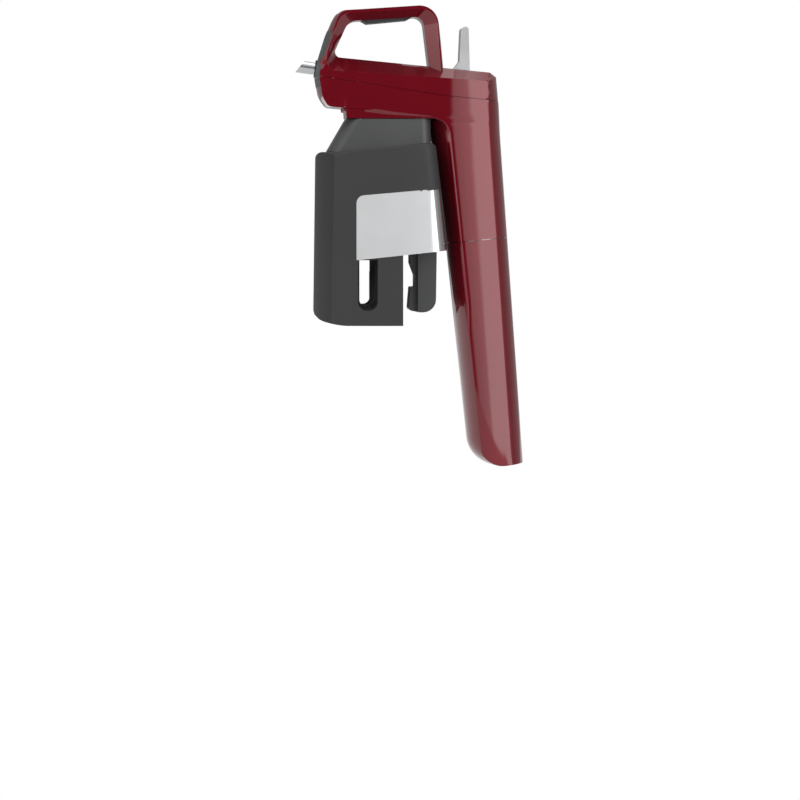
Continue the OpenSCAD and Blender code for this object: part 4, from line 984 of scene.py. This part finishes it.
room = {
    # brightness round the object, by the angle from +X, where the camera is, towards the rear
    "round": [(-180, 0.3), (-118, 0.3), (-80, 0.5), (-52, 2.3), (-17, 2.2), (-13, 0.05), (8, 0.05),
              (11, 1.4), (24, 1.9), (28, 3.7), (54, 3.7), (64, 0.6), (100, 0.3), (125, 0.4), (180, 0.4)],
    "brightest": 5.0,
    "ceiling": 1.2, "ceilingRise": (0.5, 0.8),      # strength, and the heights of the way in to it
    "ground": 0.45, "groundFall": (-0.55, -0.8),
}
floor = {"half": 3000, "height": -224.0, "grey": 0.9}
boxTop = {"place": (0.15, 0.05, 1.2), "aim": (0, 0.02, 0.05), "size": (0.9, 0.7), "power": 3}    # in m and W


def whiteRoom():
    # white to the camera and through clear pieces; what reflects sees tall soft lights in a dim room,
    # a bright ceiling and a pale ground
    world = bpy.data.worlds.new("room")
    scene.world = world
    world.use_nodes = True
    tree = world.node_tree
    tree.nodes.clear()

    def node(kind, **inputs):
        made = tree.nodes.new(kind)
        for name, value in inputs.items():
            made.inputs[name].default_value = value
        return made

    def link(a, b):
        tree.links.new(a, b)

    def blendOver(heights):
        # 0 to 1 over a span of heights of the sky
        span = node("ShaderNodeMapRange")
        span.interpolation_type = "SMOOTHSTEP"
        span.inputs["From Min"].default_value, span.inputs["From Max"].default_value = heights
        link(split.outputs["Z"], span.inputs["Value"])
        return span.outputs["Result"]

    end = node("ShaderNodeOutputWorld")
    path = node("ShaderNodeLightPath")
    where = node("ShaderNodeTexCoord")
    split = node("ShaderNodeSeparateXYZ")
    link(where.outputs["Generated"], split.inputs["Vector"])
    angle = tree.nodes.new("ShaderNodeMath")
    angle.operation = "ARCTAN2"
    link(split.outputs["Y"], angle.inputs[0])
    link(split.outputs["X"], angle.inputs[1])
    share = node("ShaderNodeMapRange")
    share.inputs["From Min"].default_value = -math.pi
    share.inputs["From Max"].default_value = math.pi
    link(angle.outputs["Value"], share.inputs["Value"])
    ramp = node("ShaderNodeValToRGB")
    stops = ramp.color_ramp.elements
    stops.remove(stops[1])
    for i, (degrees, light) in enumerate(room["round"]):
        stop = stops.new((degrees + 180) / 360) if i else stops[0]
        tone = light / room["brightest"]
        stop.color = (tone, tone, tone, 1)
    link(share.outputs["Result"], ramp.inputs["Fac"])
    lit = node("ShaderNodeBackground", Strength=room["brightest"])
    link(ramp.outputs["Color"], lit.inputs["Color"])
    ceiling = node("ShaderNodeBackground", Color=(1, 1, 1, 1), Strength=room["ceiling"])
    ground = node("ShaderNodeBackground", Color=(1, 1, 1, 1), Strength=room["ground"])
    white = node("ShaderNodeBackground", Color=(1, 1, 1, 1), Strength=1.0)
    mixes = [node("ShaderNodeMixShader") for _ in range(3)]
    link(blendOver(room["ceilingRise"]), mixes[0].inputs["Fac"])
    link(lit.outputs["Background"], mixes[0].inputs[1])
    link(ceiling.outputs["Background"], mixes[0].inputs[2])
    link(blendOver(room["groundFall"]), mixes[1].inputs["Fac"])
    link(mixes[0].outputs["Shader"], mixes[1].inputs[1])
    link(ground.outputs["Background"], mixes[1].inputs[2])
    seen = tree.nodes.new("ShaderNodeMath")
    seen.operation = "MAXIMUM"
    link(path.outputs["Is Camera Ray"], seen.inputs[0])
    link(path.outputs["Is Transmission Ray"], seen.inputs[1])
    link(seen.outputs["Value"], mixes[2].inputs["Fac"])
    link(mixes[1].outputs["Shader"], mixes[2].inputs[1])
    link(white.outputs["Background"], mixes[2].inputs[2])
    link(mixes[2].outputs["Shader"], end.inputs["Surface"])


def softbox(name, place, aim, size, power):
    light = bpy.data.lights.new(name, "AREA")
    light.shape = "RECTANGLE"
    light.size, light.size_y = size
    light.energy = power
    obj = bpy.data.objects.new(name, light)
    scene.collection.objects.link(obj)
    obj.location = place
    obj.rotation_euler = (Vector(aim) - Vector(place)).to_track_quat("-Z", "Y").to_euler()
    obj.visible_camera = False


def floorPlane():
    half, z = floor["half"] * mm, floor["height"] * mm
    mesh = bpy.data.meshes.new("floor")
    corners = [(-half, -half, z), (half, -half, z), (half, half, z), (-half, half, z)]
    mesh.from_pydata(corners, [], [(0, 1, 2, 3)])
    obj = bpy.data.objects.new("floor", mesh)
    scene.collection.objects.link(obj)
    m = bpy.data.materials.new("floorWhite")
    m.use_nodes = True
    tree = m.node_tree
    tree.nodes.clear()
    end = tree.nodes.new("ShaderNodeOutputMaterial")
    path = tree.nodes.new("ShaderNodeLightPath")
    paper = tree.nodes.new("ShaderNodeBsdfDiffuse")
    paper.inputs["Color"].default_value = (floor["grey"], floor["grey"], floor["grey"], 1)
    glow = tree.nodes.new("ShaderNodeEmission")
    glow.inputs["Strength"].default_value = 1.0
    blend = tree.nodes.new("ShaderNodeMixShader")
    seen = path.outputs["Is Camera Ray"]
    for other in ("Is Glossy Ray", "Is Transmission Ray"):
        either = tree.nodes.new("ShaderNodeMath")
        either.operation = "MAXIMUM"
        tree.links.new(seen, either.inputs[0])
        tree.links.new(path.outputs[other], either.inputs[1])
        seen = either.outputs["Value"]
    tree.links.new(seen, blend.inputs["Fac"])
    tree.links.new(paper.outputs["BSDF"], blend.inputs[1])
    tree.links.new(glow.outputs["Emission"], blend.inputs[2])
    tree.links.new(blend.outputs["Shader"], end.inputs["Surface"])
    mesh.materials.append(m)


whiteRoom()
floorPlane()
softbox("boxTop", **boxTop)
print("room ready")
